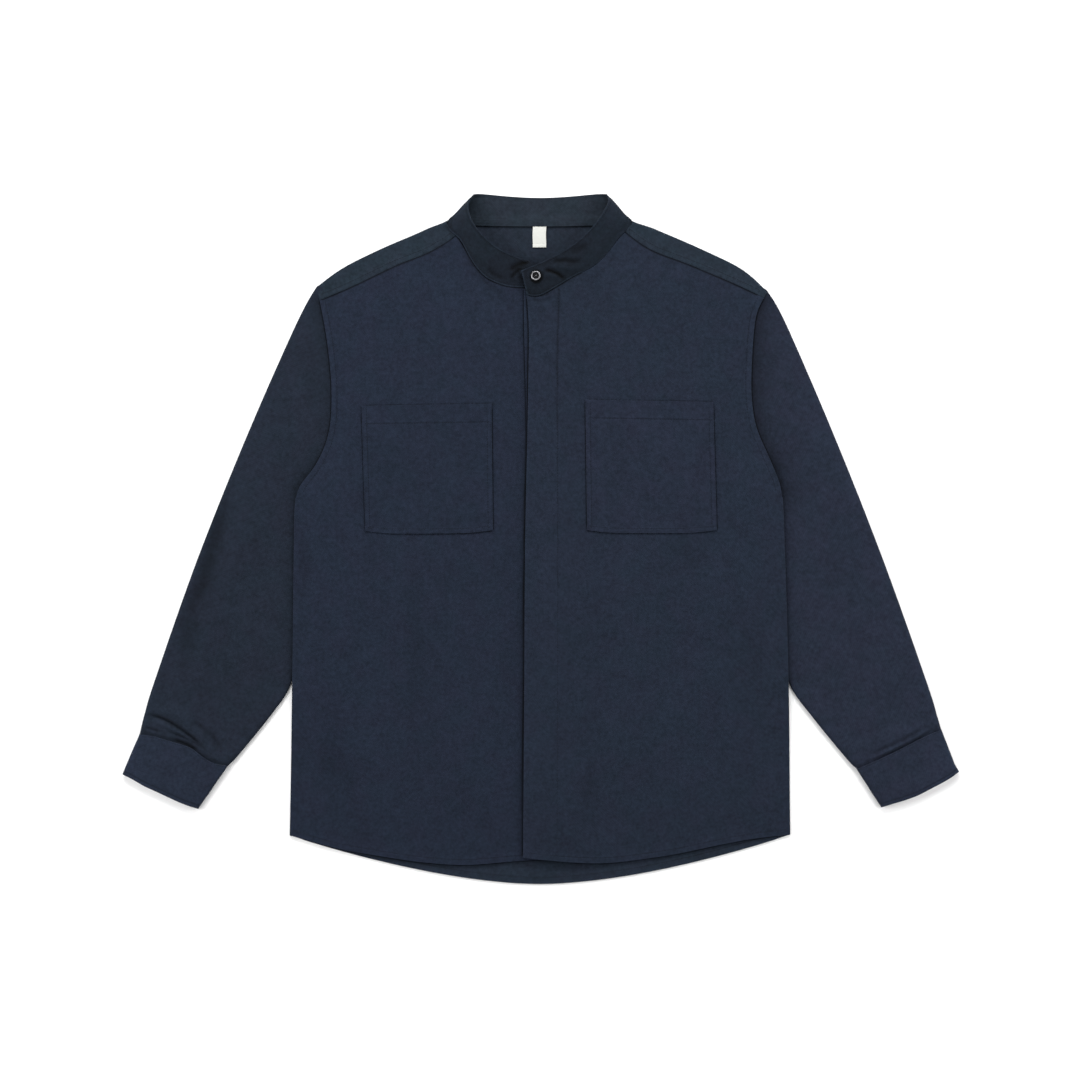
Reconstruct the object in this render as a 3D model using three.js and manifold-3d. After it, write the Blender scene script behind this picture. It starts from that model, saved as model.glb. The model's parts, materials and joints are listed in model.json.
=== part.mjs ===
// A shirt jacket with a band collar, a concealed placket and two chest pockets, lying flat on its back.
// Millimetres, +Z up. The surface it lies on is z = 0, +Y runs to the collar and +X to the wearer's left.
// Each cut piece of cloth is a closed wall made from a grid of points that runs through its middle.
import * as THREE from "three";
import { mergeVertices } from "three/addons/utils/BufferGeometryUtils.js";
import Module from "manifold-3d";

const manifold = await Module();
manifold.setup();

// Driving dimensions
const ply = 1.2; // one layer of the jacket's cloth
const foldedPly = 1.8; // collar band, cuffs and fly, which are cloth folded in two and pressed
const seamGap = 0.3; // free space between neighbouring pieces
const chestHalf = 281; // side seam to centre at the chest
const hemHalf = 287; // side seam to centre at the hem
const underarmY = 52;
const sleeveApexY = -168; // where the sleeve comes out from under the body
const yokeSeamY = 250; // back yoke seam
const backNeckY = 360;
const sleeveHeight = 6.2; // both layers of a sleeve and the air between them
const pressedHeight = 3.2; // the same where the body lies on it
const cuffHeight = 7.4;
const bodyLoft = 1.6; // air between the back and the fronts
const neckLoft = 2.2; // more of it round the neck
const buttonDiameter = 12;
const buttonHeight = 3.4;
const buttonSection = 25.77; // where it sits on the band, counted in the band's sections
const buttonUp = 0.68;
const flyWidth = 38;
const flyGap = 0.35; // free space above and below the fly strip
const pocketGap = 0.7; // free space under a pocket, whose straight stretches come closer in places
const curveGap = 0.6; // the same along curved seams
const bandGap = 0.9; // and along the band, whose wall leans
const labelLength = 26;
const labelThickness = 1;
const labelLift = 0.6; // its free end stands off the yoke
const hemBottomY = -396.2; // lowest point of the back hem
const hemDip = 55; // how far the back hem drops from its corners
const hemPower = 1.7;
const hemCornerY = hemBottomY + hemDip;
const neckCentreY = 330;

// Where the layers rise and fall. Each pair of numbers is where a rise begins and where it is complete.
const tuckRise = pressedHeight + 0.7; // how far the body is lifted by the sleeves under its sides
const tuckAcross = [190, 257];
const tuckBelow = [sleeveApexY - 95, sleeveApexY - 4];
const tuckAbove = [underarmY, underarmY + 50];
const loftFromSide = [0, 55];
const loftAtArm = [underarmY - 12, underarmY + 40];
const loftAtHem = [-350, -250];
const loftAtNeck = [95, 200]; // distances from the middle of the neck
const lapRise = ply + foldedPly + 2 * flyGap; // left front above the right one at the centre
const lapAcross = [24, 96];
const pressAcross = [288, 335]; // where a sleeve leaves the body that presses on it
const pressBelow = [sleeveApexY - 30, sleeveApexY];
const pressAbove = [70, 130];
const levelAcross = [252, 320]; // where a sleeve leaves the level of the front at the armhole
const levelAbove = [80, 115];

// Outlines. Rows run down the garment or from the wearer's right to left, at its true size.
const armholes = {
  right: [
    { x: -256, y: 287 }, { x: -251, y: 263 }, { x: -246, y: 236 }, { x: -240, y: 183 },
    { x: -239.5, y: 157 }, { x: -241, y: 131 }, { x: -246, y: 109 }, { x: -254, y: 92 },
    { x: -264, y: 75 }, { x: -279, y: underarmY },
  ],
  left: [
    { x: 260, y: 282 }, { x: 250, y: 262 }, { x: 246, y: 239 }, { x: 243, y: 192 },
    { x: 243, y: 165 }, { x: 245.5, y: 142 }, { x: 249.5, y: 125 }, { x: 257, y: 107 },
    { x: 266, y: 88 }, { x: 277.5, y: underarmY },
  ],
};
const sideSeams = {
  right: [
    { x: -279, y: underarmY }, { x: -chestHalf, y: 30 }, { x: -284, y: -168 }, { x: -hemHalf, y: -341 },
  ],
  left: [
    { x: 277.5, y: underarmY }, { x: chestHalf - 2, y: 30 }, { x: 285, y: -168 }, { x: hemHalf, y: -340 },
  ],
};
// The forward shoulder seams start on the armhole, at armY, and end at the neck.
const shoulderSeams = {
  right: {
    armY: 273.5,
    rows: [{ x: -231, y: 282.5 }, { x: -155, y: 318 }, { x: -112, y: 335.5 }, { x: -97.5, y: 347 }],
  },
  left: {
    armY: 276.5,
    rows: [{ x: 221, y: 293.5 }, { x: 155, y: 321 }, { x: 121, y: 334.5 }, { x: 98, y: 352 }],
  },
};
const shoulderFolds = {
  right: [
    { x: -256, y: 287 }, { x: -235, y: 303.5 }, { x: -189, y: 328 }, { x: -122, y: 357 }, { x: -109, y: 364 },
  ],
  left: [
    { x: 260, y: 282 }, { x: 236, y: 304.5 }, { x: 191, y: 328 }, { x: 125, y: 356.5 }, { x: 107.5, y: 364 },
  ],
};
const frontHems = {
  right: [
    { x: -hemHalf, y: -341 }, { x: -235, y: -355.5 }, { x: -192, y: -363.5 }, { x: -134, y: -372 },
    { x: -85, y: -375 }, { x: -20, y: -370 }, { x: 22, y: -369 },
  ],
  left: [
    { x: hemHalf, y: -340 }, { x: 241, y: -345.5 }, { x: 199, y: -353.5 }, { x: 156, y: -362.5 },
    { x: 114, y: -368.8 }, { x: 72, y: -373 }, { x: 29, y: -371 }, { x: -19.5, y: -366.5 },
  ],
};
const frontEdges = {
  right: [{ x: 21, y: 291 }, { x: 22, y: -369 }],
  left: [
    { x: -14.5, y: 278.4 }, { x: -13, y: 250 }, { x: -14, y: 150 }, { x: -17, y: 0 },
    { x: -18.4, y: -209 }, { x: -19.5, y: -366.5 },
  ],
};
// Both edges of a sleeve start inside the body, where the armhole cuts them off.
const sleeveOuters = {
  right: [
    { x: -243, y: 311 }, { x: -256, y: 287 }, { x: -269, y: 264 }, { x: -281, y: 240 }, { x: -338, y: 113 },
    { x: -394.5, y: -25 }, { x: -443, y: -163 }, { x: -454.5, y: -201 }, { x: -460.5, y: -224.5 },
  ],
  left: [
    { x: 246, y: 305 }, { x: 260, y: 282 }, { x: 269, y: 267 }, { x: 282, y: 243 }, { x: 339, y: 113 },
    { x: 395, y: -25 }, { x: 444, y: -163 }, { x: 457, y: -205 }, { x: 461, y: -218.5 },
  ],
};
// An inner edge lies under the body as far as the apex.
const sleeveInners = {
  right: [
    { x: -222, y: 92 }, { x: -259, y: 46 }, { x: -264, y: 0 }, { x: -263, y: -70 }, { x: -269, y: -122 },
    { x: -284, y: sleeveApexY }, { x: -310.5, y: -201 }, { x: -348, y: -247 }, { x: -358.5, y: -260.5 },
  ],
  left: [
    { x: 222, y: 92 }, { x: 259, y: 46 }, { x: 264, y: 0 }, { x: 263, y: -70 }, { x: 269, y: -122 },
    { x: 285, y: sleeveApexY }, { x: 315, y: -208.5 }, { x: 353, y: -254.5 }, { x: 363.5, y: -264 },
  ],
};
const cuffSeams = {
  right: [
    { x: -460.5, y: -224.5 }, { x: -442, y: -226.5 }, { x: -428, y: -231 }, { x: -400, y: -240 },
    { x: -388.5, y: -249 }, { x: -371, y: -258.5 }, { x: -358.5, y: -260.5 },
  ],
  left: [
    { x: 461, y: -218.5 }, { x: 442, y: -226.5 }, { x: 405.5, y: -245 }, { x: 383, y: -255.5 },
    { x: 363.5, y: -264 },
  ],
};
const cuffMouths = {
  right: [{ x: -479.7, y: -270.5 }, { x: -440, y: -288.5 }, { x: -408, y: -303 }, { x: -391, y: -308.5 }],
  left: [{ x: 479.7, y: -267.5 }, { x: 462, y: -282.5 }, { x: 436, y: -294.5 }, { x: 391.5, y: -308.5 }],
};
// Corners of each pocket, from its top corner nearest the armhole round to its bottom one.
const pocketCorners = {
  right: {
    topOuter: [-205, 152.5], topInner: [-55.5, 155], bottomInner: [-54, 9.5], bottomOuter: [-200.5, 8.5],
  },
  left: { topOuter: [199, 157], topInner: [52, 159.5], bottomInner: [54, 9.5], bottomOuter: [203, 9.5] },
};
const pocketBow = 3.4; // how far the middle of a pocket's bottom edge hangs below its corners

// The collar band, one row for each section, from its end under the tab round the back to the tab.
// seam is where it is sewn to the neck, rim its free edge, and rise the rim's height;
// lies says what is under it.
const bandSections = [
  { seam: [20, 292.5], rim: [17, 312], rise: 10.2, lies: "right" },
  { seam: [0, 289], rim: [3, 314.5], rise: 10.4, lies: "right" },
  { seam: [-18, 288.4], rim: [-12, 317.3], rise: 11, lies: "right" },
  { seam: [-36, 289.4], rim: [-27.6, 323], rise: 12.5, lies: "right" },
  { seam: [-50.6, 294.2], rim: [-40.2, 328.3], rise: 14.5, lies: "right" },
  { seam: [-65.2, 302.6], rim: [-54.3, 337], rise: 16.5, lies: "right" },
  { seam: [-78, 319.4], rim: [-68.6, 350.6], rise: 18.5, lies: "right" },
  { seam: [-85.4, 333], rim: [-77, 362.4], rise: 19.5, lies: "right" },
  { seam: [-93.4, 346.4], rim: [-81.7, 376], rise: 19, lies: "right" },
  { seam: [-101.5, 354], rim: [-80.5, 386.5], rise: 15.5, lies: "right" },
  { seam: [-106, 363.5], rim: [-75.5, 394.2], rise: 9.5, lies: "fold" },
  { seam: [-92, 361.8], rim: [-66, 395.4], rise: 5, lies: "surface" },
  { seam: [-60, 360.6], rim: [-44, 393.6], rise: 3.6, lies: "surface" },
  { seam: [-20, 360], rim: [-15, 391.6], rise: 3.2, lies: "surface" },
  { seam: [20, 360], rim: [15, 391.6], rise: 3.2, lies: "surface" },
  { seam: [60, 360.9], rim: [44, 393.6], rise: 3.6, lies: "surface" },
  { seam: [92, 361.8], rim: [66, 395.4], rise: 5, lies: "surface" },
  { seam: [105, 363], rim: [76.5, 394.2], rise: 9.5, lies: "fold" },
  { seam: [99.5, 357], rim: [79, 388], rise: 15.5, lies: "left" },
  { seam: [92, 348], rim: [74.7, 377.8], rise: 19, lies: "left" },
  { seam: [82.8, 335.4], rim: [67, 365.3], rise: 19.5, lies: "left" },
  { seam: [72.5, 322.6], rim: [57.5, 354], rise: 19, lies: "left" },
  { seam: [57, 310.2], rim: [44, 341], rise: 18, lies: "left" },
  { seam: [41, 302.2], rim: [30.6, 331.5], rise: 17, lies: "left" },
  { seam: [26.7, 293.6], rim: [17, 323.5], rise: 16, lies: "left" },
  { seam: [12.6, 285.2], rim: [3, 317], rise: 15, lies: "left" },
  { seam: [-2, 278.2], rim: [-10.3, 311.3], rise: 14.4, lies: "left" },
  { seam: [-15.2, 279.4], rim: [-21.5, 306.8], rise: 14, lies: "left" },
];
const bandFoldBase = 3.6; // height of the band's seam edge at its side folds
const bandBelly = 1.6; // how far the band rounds up between its two edges

// Materials
const clothMaterial = new THREE.MeshStandardMaterial({ color: 0x292f3d, roughness: 0.95, metalness: 0 });
const yokeMaterial = new THREE.MeshStandardMaterial({ color: 0x2b333d, roughness: 0.95, metalness: 0 });
const labelMaterial = new THREE.MeshStandardMaterial({ color: 0xecede8, roughness: 0.8, metalness: 0 });
const buttonMaterial = new THREE.MeshStandardMaterial({ color: 0x8a8a8a, roughness: 0.35, metalness: 0.9 });

const { lerp, smoothstep } = THREE.MathUtils;

// Heights. Each gives the middle of a layer of cloth above the surface the jacket lies on.
function sideHalf(y) {
  return lerp(chestHalf, hemHalf, THREE.MathUtils.clamp((underarmY - y) / (underarmY - hemCornerY), 0, 1));
}

function tuckLift(x, y) {
  const across = smoothstep(Math.abs(x), ...tuckAcross);
  const below = smoothstep(y, ...tuckBelow);
  const above = 1 - smoothstep(y, ...tuckAbove);
  return tuckRise * across * below * above;
}

function loft(x, y) {
  const fromSide = smoothstep(sideHalf(y) - Math.abs(x), ...loftFromSide);
  const nearArm = smoothstep(y, ...loftAtArm);
  const nearHem = 1 - smoothstep(y, ...loftAtHem);
  const nearNeck = 1 - smoothstep(Math.hypot(x, y - neckCentreY), ...loftAtNeck);
  return bodyLoft * lerp(fromSide, 1, nearArm) * (1 - 0.5 * nearHem) + neckLoft * nearNeck;
}

const backHeight = (x, y) => tuckLift(x, y) + ply / 2;
const rightHeight = (x, y) => backHeight(x, y) + ply + seamGap + loft(x, y);
const leftHeight = (x, y) => rightHeight(x, y) + lapRise * (1 - smoothstep(x, ...lapAcross));
const frontHeights = { right: rightHeight, left: leftHeight };
const flyHeight = (x, y) => rightHeight(x, y) + ply / 2 + flyGap + foldedPly / 2;

// Edges
function edgeThrough(rows) {
  return new THREE.CatmullRomCurve3(rows.map(({ x, y }) => new THREE.Vector3(x, y, 0)));
}

// The rows joined by one curve, as steps + 1 evenly spaced points.
const pointsAlong = (rows, steps) => edgeThrough(rows).getSpacedPoints(steps);

// Two edges end to end, without repeating the point where they meet.
const joined = (first, second) => [...first, ...second.slice(1)];

// A grid of plan points between four edges. Rows run from the top edge to the bottom one.
function gridBetween(top, bottom, start, end) {
  const rows = start.length - 1;
  const columns = top.length - 1;
  const mix = (a, b, share) => a.clone().lerp(b, share);
  return start.map((startPoint, row) =>
    top.map((topPoint, column) => {
      const down = row / rows;
      const across = column / columns;
      const between = mix(topPoint, bottom[column], down).add(mix(startPoint, end[row], across));
      const corners = mix(mix(top[0], top[columns], across), mix(bottom[0], bottom[columns], across), down);
      return between.sub(corners);
    }),
  );
}

// Lifts a grid of plan points to the height that a layer has there.
function raised(grid, heightAt) {
  return grid.map((row) => row.map((point) => point.clone().setZ(heightAt(point.x, point.y))));
}

// Cloth walls
function cellList(grid, ring, keep) {
  const columns = grid[0].length;
  const cells = [];
  for (let row = 0; row < grid.length - 1; row++) {
    for (let column = 0; column < (ring ? columns : columns - 1); column++) {
      if (keep(row, column)) cells.push({ row, column });
    }
  }
  return cells;
}

// The closed wall of cloth round a grid of middle points. A ring's last column meets its first,
// and keep(row, column) says which cells of the grid are cloth.
function clothWall(grid, thickness, { ring = false, keep = () => true } = {}) {
  const columns = grid[0].length;
  const points = grid.flat();
  const indexOf = (row, column) => row * columns + (column % columns);
  const normals = points.map(() => new THREE.Vector3());
  const cells = cellList(grid, ring, keep);
  const quads = cells.map(({ row, column }) => [
    indexOf(row, column), indexOf(row, column + 1), indexOf(row + 1, column + 1), indexOf(row + 1, column),
  ]);
  for (const [a, b, c, d] of quads) {
    const across = points[c].clone().sub(points[a]);
    const faceNormal = across.cross(points[d].clone().sub(points[b])).normalize();
    for (const corner of [a, b, c, d]) normals[corner].add(faceNormal);
  }
  normals.forEach((normal) => normal.normalize());
  const outer = points.map((point, i) => point.clone().addScaledVector(normals[i], thickness / 2));
  const inner = points.map((point, i) => point.clone().addScaledVector(normals[i], -thickness / 2));
  const count = points.length;
  const edgeUses = new Map();
  for (const quad of quads) {
    quad.forEach((from, i) => {
      const to = quad[(i + 1) % 4];
      const key = Math.min(from, to) + "-" + Math.max(from, to);
      edgeUses.set(key, [...(edgeUses.get(key) ?? []), [from, to]]);
    });
  }
  const triangles = [];
  const addQuad = (a, b, c, d) => triangles.push(a, b, c, a, c, d);
  for (const [a, b, c, d] of quads) {
    addQuad(a, b, c, d);
    addQuad(count + d, count + c, count + b, count + a);
  }
  for (const uses of edgeUses.values()) {
    const [from, to] = uses[0];
    if (uses.length === 1) addQuad(to, from, count + from, count + to);
  }
  return facingOut([...outer, ...inner], triangles);
}

// A geometry of these triangles, turned round if they face inwards.
function facingOut(points, triangles) {
  let volume = 0;
  for (let i = 0; i < triangles.length; i += 3) {
    const [a, b, c] = triangles.slice(i, i + 3).map((index) => points[index]);
    volume += a.dot(b.clone().cross(c));
  }
  const geometry = new THREE.BufferGeometry().setFromPoints(points);
  geometry.setIndex(volume > 0 ? triangles : [...triangles].reverse());
  geometry.computeVertexNormals();
  return geometry;
}

// Solids for the cuts
function solidOf(geometry) {
  const bare = new THREE.BufferGeometry().setIndex(geometry.index);
  bare.setAttribute("position", geometry.getAttribute("position"));
  const merged = mergeVertices(bare, 1e-3);
  const vertProperties = merged.getAttribute("position").array;
  const triVerts = new Uint32Array(merged.index.array);
  return new manifold.Manifold(new manifold.Mesh({ numProp: 3, vertProperties, triVerts }));
}

function geometryOf(solid) {
  const { vertProperties, triVerts } = solid.getMesh();
  const geometry = new THREE.BufferGeometry();
  geometry.setAttribute("position", new THREE.BufferAttribute(vertProperties, 3));
  geometry.setIndex(new THREE.BufferAttribute(triVerts, 1));
  geometry.computeVertexNormals();
  return geometry;
}

const jacket = new THREE.Group();

function addPiece(name, geometry, material) {
  const mesh = new THREE.Mesh(geometry, material);
  mesh.name = name;
  jacket.add(mesh);
  return mesh;
}

// The same points spaced evenly again, as steps + 1 of them.
const respaced = (points, steps) => new THREE.CatmullRomCurve3(points).getSpacedPoints(steps);

// Moves an edge sideways in the plan, to the left of its run.
function offsetEdge(points, distance) {
  const last = points.length - 1;
  return points.map((point, i) => {
    const along = points[Math.min(i + 1, last)].clone().sub(points[Math.max(i - 1, 0)]).normalize();
    return point.clone().add(new THREE.Vector3(-along.y, along.x, 0).multiplyScalar(distance));
  });
}

// All that is sewn into an armhole shares these straight stretches, from the shoulder tip to the underarm.
const armSteps = 9;
const armholePoints = (side) => pointsAlong(armholes[side], armSteps);

// The armhole's point at a height, on the stretch that crosses it.
function armPointAt(side, y) {
  const points = armholePoints(side);
  const next = points.findIndex((point) => point.y < y);
  const [above, below] = [points[next - 1], points[next]];
  return above.clone().lerp(below, (above.y - y) / (above.y - below.y));
}

function armPointsBelow(side, y) {
  return [armPointAt(side, y), ...armholePoints(side).filter((point) => point.y < y)];
}

// Back and fronts
const seamSteps = 9;

// Armhole below a height, and the side seam under it.
function sideEdge(side, fromY) {
  return joined(armPointsBelow(side, fromY), pointsAlong(sideSeams[side], seamSteps));
}

// Shares from 0 to 1 that lie closer together near both ends, where the body climbs over the sleeves.
function sharesToEnds(steps) {
  const evenly = Array.from({ length: steps + 1 }, (_, step) => step / steps);
  return evenly.map((share) => lerp(share, (1 - Math.cos(Math.PI * share)) / 2, 0.6));
}

// The same shares, closer together near 0 only.
function sharesToStart(steps) {
  const evenly = Array.from({ length: steps + 1 }, (_, step) => step / steps);
  return evenly.map((share) => lerp(share, share * share, 0.45));
}

function backHemY(x) {
  return hemBottomY + hemDip * Math.pow(Math.abs(x) / hemHalf, hemPower);
}

function makeBack() {
  const right = sideEdge("right", yokeSeamY - seamGap);
  const left = sideEdge("left", yokeSeamY - seamGap);
  const shares = sharesToEnds(18);
  const top = shares.map((share) => right[0].clone().lerp(left[0], share));
  const bottom = shares.map((share) => {
    const x = lerp(right.at(-1).x, left.at(-1).x, share);
    return new THREE.Vector3(x, backHemY(x), 0);
  });
  addPiece("back", clothWall(raised(gridBetween(top, bottom, right, left), backHeight), ply), clothMaterial);
}

// The forward seam from the armhole to the neck.
function shoulderSeam(side, steps) {
  const { armY, rows } = shoulderSeams[side];
  return pointsAlong([armPointAt(side, armY), ...rows], steps);
}

// The neck edge of a front lies just outside the band that is sewn to it, from the shoulder to the centre.
function neckEdge(side) {
  const onFront = bandSections.filter(({ lies }) => lies === side);
  const sewn = onFront.map(({ seam }) => new THREE.Vector3(...seam, 0));
  const fromShoulder = side === "right" ? sewn.reverse() : sewn;
  return offsetEdge(fromShoulder, side === "right" ? -bandGap : bandGap).slice(2);
}

function frontGrid(side) {
  const outerEdge = sideEdge(side, shoulderSeams[side].armY - seamGap);
  const shoulder = offsetEdge(shoulderSeam(side, shoulderSteps), side === "right" ? -curveGap : curveGap);
  const top = joined(shoulder, neckEdge(side));
  top[0] = outerEdge[0];
  const steps = top.length - 1;
  const hem = new THREE.CatmullRomCurve3(pointsAlong(frontHems[side], 40));
  const bottom = sharesToStart(steps).map((share) => hem.getPointAt(share));
  const openEdge = pointsAlong(frontEdges[side], outerEdge.length - 1);
  openEdge[0] = top.at(-1);
  openEdge[openEdge.length - 1] = bottom.at(-1);
  return gridBetween(top, bottom, outerEdge, openEdge);
}

function makeFront(side) {
  const grid = raised(frontGrid(side), frontHeights[side]);
  addPiece("front_" + side, clothWall(grid, ply), clothMaterial);
}

// The fly strip lies on the right front and under the left one, a little proud of its edge at the top.
function makePlacket() {
  const flyEdge = [{ x: -18.6, y: 277.5 }, { x: -18.2, y: 235 }, { x: -16, y: 150 }, { x: -17.2, y: -366 }];
  const grid = pointsAlong(flyEdge, 15).map((point) => {
    const inner = new THREE.Vector3(flyWidth / 2, point.y, 0);
    return [point, point.clone().lerp(inner, 0.5), inner];
  });
  addPiece("placket", clothWall(raised(grid, flyHeight), foldedPly), clothMaterial);
}

// A patch pocket, made from the points of the front that it lies on.
function makePocket(side) {
  const { topOuter, topInner, bottomInner, bottomOuter } = pocketCorners[side];
  const corner = ([x, y]) => new THREE.Vector3(x, y, 0);
  const steps = 6;
  const grid = [];
  for (let row = 0; row <= steps; row++) {
    const down = row / steps;
    const outerPoint = corner(topOuter).lerp(corner(bottomOuter), down);
    const innerPoint = corner(topInner).lerp(corner(bottomInner), down);
    grid.push(
      Array.from({ length: steps + 1 }, (_, column) => {
        const across = column / steps;
        const bow = pocketBow * down * (1 - Math.pow(2 * across - 1, 4));
        const point = outerPoint.clone().lerp(innerPoint, across);
        point.y -= bow;
        return point;
      }),
    );
  }
  const onFront = (x, y) => frontHeights[side](x, y) + ply + pocketGap;
  addPiece("pocket_" + side, clothWall(raised(grid, onFront), ply), clothMaterial);
}

// Yoke: flat on the surface behind, folded over both shoulders, and ended at the forward seams.
const yokeFlatRows = 4;
const yokeFoldRows = 4;
const yokeFlapRows = 2;
const shoulderSteps = 5;

// One column of the yoke over a shoulder, from the back seam up to the fold and down its flap.
// flatPoint(share, bend) gives the plan point at a share of the way from the seam to the bend.
function yokeColumn(foldPoint, flapPoint, flatPoint) {
  const top = rightHeight(flapPoint.x, flapPoint.y);
  const bottom = ply / 2;
  const radius = (top - bottom) / 2;
  const inward = flapPoint.clone().sub(foldPoint).setZ(0).normalize();
  const bend = foldPoint.clone().addScaledVector(inward, radius + ply / 2);
  const column = [];
  for (let row = 0; row <= yokeFlatRows; row++) {
    column.push(flatPoint(row / yokeFlatRows, bend).setZ(bottom));
  }
  for (let row = 1; row <= yokeFoldRows; row++) {
    const angle = (Math.PI * row) / yokeFoldRows;
    const point = bend.clone().addScaledVector(inward, -radius * Math.sin(angle));
    column.push(point.setZ(bottom + radius * (1 - Math.cos(angle))));
  }
  for (let row = 1; row <= yokeFlapRows; row++) {
    column.push(bend.clone().lerp(flapPoint, row / yokeFlapRows).setZ(top));
  }
  return column;
}

// One column of the yoke behind the neck, which ends at the band. Its last rows aren't cloth.
function yokeNeckColumn(seamPoint, neckPoint) {
  const rows = yokeFlatRows + yokeFoldRows + yokeFlapRows;
  return Array.from({ length: rows + 1 }, (_, row) =>
    seamPoint.clone().lerp(neckPoint, Math.min(1, row / yokeFlatRows)).setZ(ply / 2),
  );
}

function makeYoke() {
  const neckSteps = 8;
  const shoulderShare = 0.31;
  const armEnd = (side) => armPointAt(side, yokeSeamY);
  const seamPoint = (share) => armEnd("right").lerp(armEnd("left"), share);
  const shoulderColumns = (side) => {
    const folds = pointsAlong(shoulderFolds[side], shoulderSteps);
    const flaps = shoulderSeam(side, shoulderSteps);
    const alongArmhole = (share, bend) => armPointAt(side, lerp(yokeSeamY, bend.y, share));
    return folds.map((fold, step) => {
      const share = shoulderShare * (step / shoulderSteps);
      const seam = seamPoint(side === "right" ? share : 1 - share);
      const straight = (up, bend) => seam.clone().lerp(bend, up);
      return yokeColumn(fold, flaps[step], step === 0 ? alongArmhole : straight);
    });
  };
  const right = shoulderColumns("right");
  const left = shoulderColumns("left").reverse();
  const neck = [];
  for (let step = 1; step < neckSteps; step++) {
    const share = step / neckSteps;
    const neckPoint = right.at(-1)[yokeFlatRows].clone().lerp(left[0][yokeFlatRows], share);
    neckPoint.y = backNeckY - curveGap;
    neck.push(yokeNeckColumn(seamPoint(lerp(shoulderShare, 1 - shoulderShare, share)), neckPoint));
  }
  const columns = [...right, ...neck, ...left];
  const grid = columns[0].map((_, row) => columns.map((column) => column[row]));
  const keep = (row, column) => {
    const behindNeck = column >= shoulderSteps && column < shoulderSteps + neckSteps;
    return row < yokeFlatRows || !behindNeck;
  };
  addPiece("yoke", clothWall(grid, ply, { keep }), yokeMaterial);
}

// Collar band
function bandSeamHeight({ seam: [x, y], lies }) {
  if (lies === "surface") return foldedPly / 2;
  return lies === "fold" ? bandFoldBase : frontHeights[lies](x, y);
}

// The middle of the band at a section, which may lie between two rows, and at a share of its height.
function bandPoint(section, up) {
  const curveOf = (place) => new THREE.CatmullRomCurve3(bandSections.map(place), false, "centripetal");
  const share = section / (bandSections.length - 1);
  const seamPoint = curveOf((row) => new THREE.Vector3(...row.seam, bandSeamHeight(row))).getPoint(share);
  const rimPoint = curveOf((row) => new THREE.Vector3(...row.rim, row.rise)).getPoint(share);
  const belly = bandSections[Math.round(section)].lies === "surface" ? 0 : bandBelly;
  const point = seamPoint.lerp(rimPoint, up);
  point.z += belly * 4 * up * (1 - up);
  return point;
}

function makeBand() {
  const heightSteps = 4;
  const grid = [];
  for (let row = 0; row <= heightSteps; row++) {
    grid.push(bandSections.map((_, section) => bandPoint(section, row / heightSteps)));
  }
  addPiece("collar_band", clothWall(grid, foldedPly), clothMaterial);
}

// Sleeves and cuffs: flattened tubes
// The ring of a flattened tube from its outer fold across the top to its inner fold, and back below.
// line holds the plan points across it, and topAt gives the middle of the top layer.
function tubeRing(line, thickness, topAt) {
  const steps = line.length - 1;
  const width = line[0].distanceTo(line[steps]);
  const pointAt = (share) => {
    const step = Math.min(Math.floor(share * steps), steps - 1);
    return line[step].clone().lerp(line[step + 1], share * steps - step);
  };
  const place = (share, layer) => {
    const point = pointAt(share);
    return point.setZ(lerp(thickness / 2, topAt(point.x, point.y), layer));
  };
  const inset = thickness / 2 / width;
  const fold = topAt(line[0].x, line[0].y) / 2 / width;
  const shares = [inset + 0.3 * fold, inset + fold];
  for (let step = 1; step < steps; step++) shares.push(step / steps);
  shares.push(1 - inset - fold, 1 - inset - 0.3 * fold);
  const last = shares.length - 1;
  const layerOf = (index) => (index === 0 || index === last ? 0.86 : 1);
  const above = shares.map((share, index) => place(share, layerOf(index)));
  const below = shares.map((share, index) => place(share, 1 - layerOf(index))).reverse();
  return [place(inset, 0.5), ...above, place(1 - inset, 0.5), ...below];
}

function tubeWall({ start, end, outer, inner }, thickness, topAt) {
  const rings = gridBetween(start, end, outer, inner).map((line) => tubeRing(line, thickness, topAt));
  return clothWall(rings, thickness, { ring: true });
}

// What the body takes away from a sleeve: all inside the armhole, as far down as the underarm.
function armholeBlock(side) {
  const away = side === "right" ? -curveGap : curveGap;
  const edge = offsetEdge(armholePoints(side), away);
  const insideX = side === "right" ? -180 : 180;
  const aboveY = 340;
  const tipX = edge[0].x + away * 8;
  const outline = [new THREE.Vector2(insideX, aboveY), new THREE.Vector2(tipX, aboveY), ...edge];
  outline.push(new THREE.Vector2(insideX, edge.at(-1).y));
  const block = new THREE.ExtrudeGeometry(new THREE.Shape(outline), { depth: 40, bevelEnabled: false });
  return block.translate(0, 0, -10);
}

// Top of a sleeve: level with the front at the armhole, and pressed where the body lies on it.
function sleeveTop(x, y) {
  const besideBody = (1 - smoothstep(Math.abs(x), ...pressAcross)) * smoothstep(y, ...pressBelow);
  const own = lerp(sleeveHeight, pressedHeight, besideBody * (1 - smoothstep(y, ...pressAbove)));
  const level = rightHeight(x, y) - tuckLift(x, y) + ply / 2;
  const fromArmhole = Math.max(smoothstep(Math.abs(x), ...levelAcross), 1 - smoothstep(y, ...levelAbove));
  return lerp(level, own, fromArmhole) - ply / 2;
}

function makeSleeve(side) {
  const rows = 12;
  const across = 7;
  const outer = pointsAlong(sleeveOuters[side], rows);
  const inner = pointsAlong(sleeveInners[side], rows);
  const start = respaced([outer[0], inner[0]], across);
  const end = pointsAlong(cuffSeams[side], across);
  const tube = solidOf(tubeWall({ start, end, outer, inner }, ply, sleeveTop));
  const cut = tube.subtract(solidOf(armholeBlock(side)));
  addPiece("sleeve_" + side, geometryOf(cut), clothMaterial);
}

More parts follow.
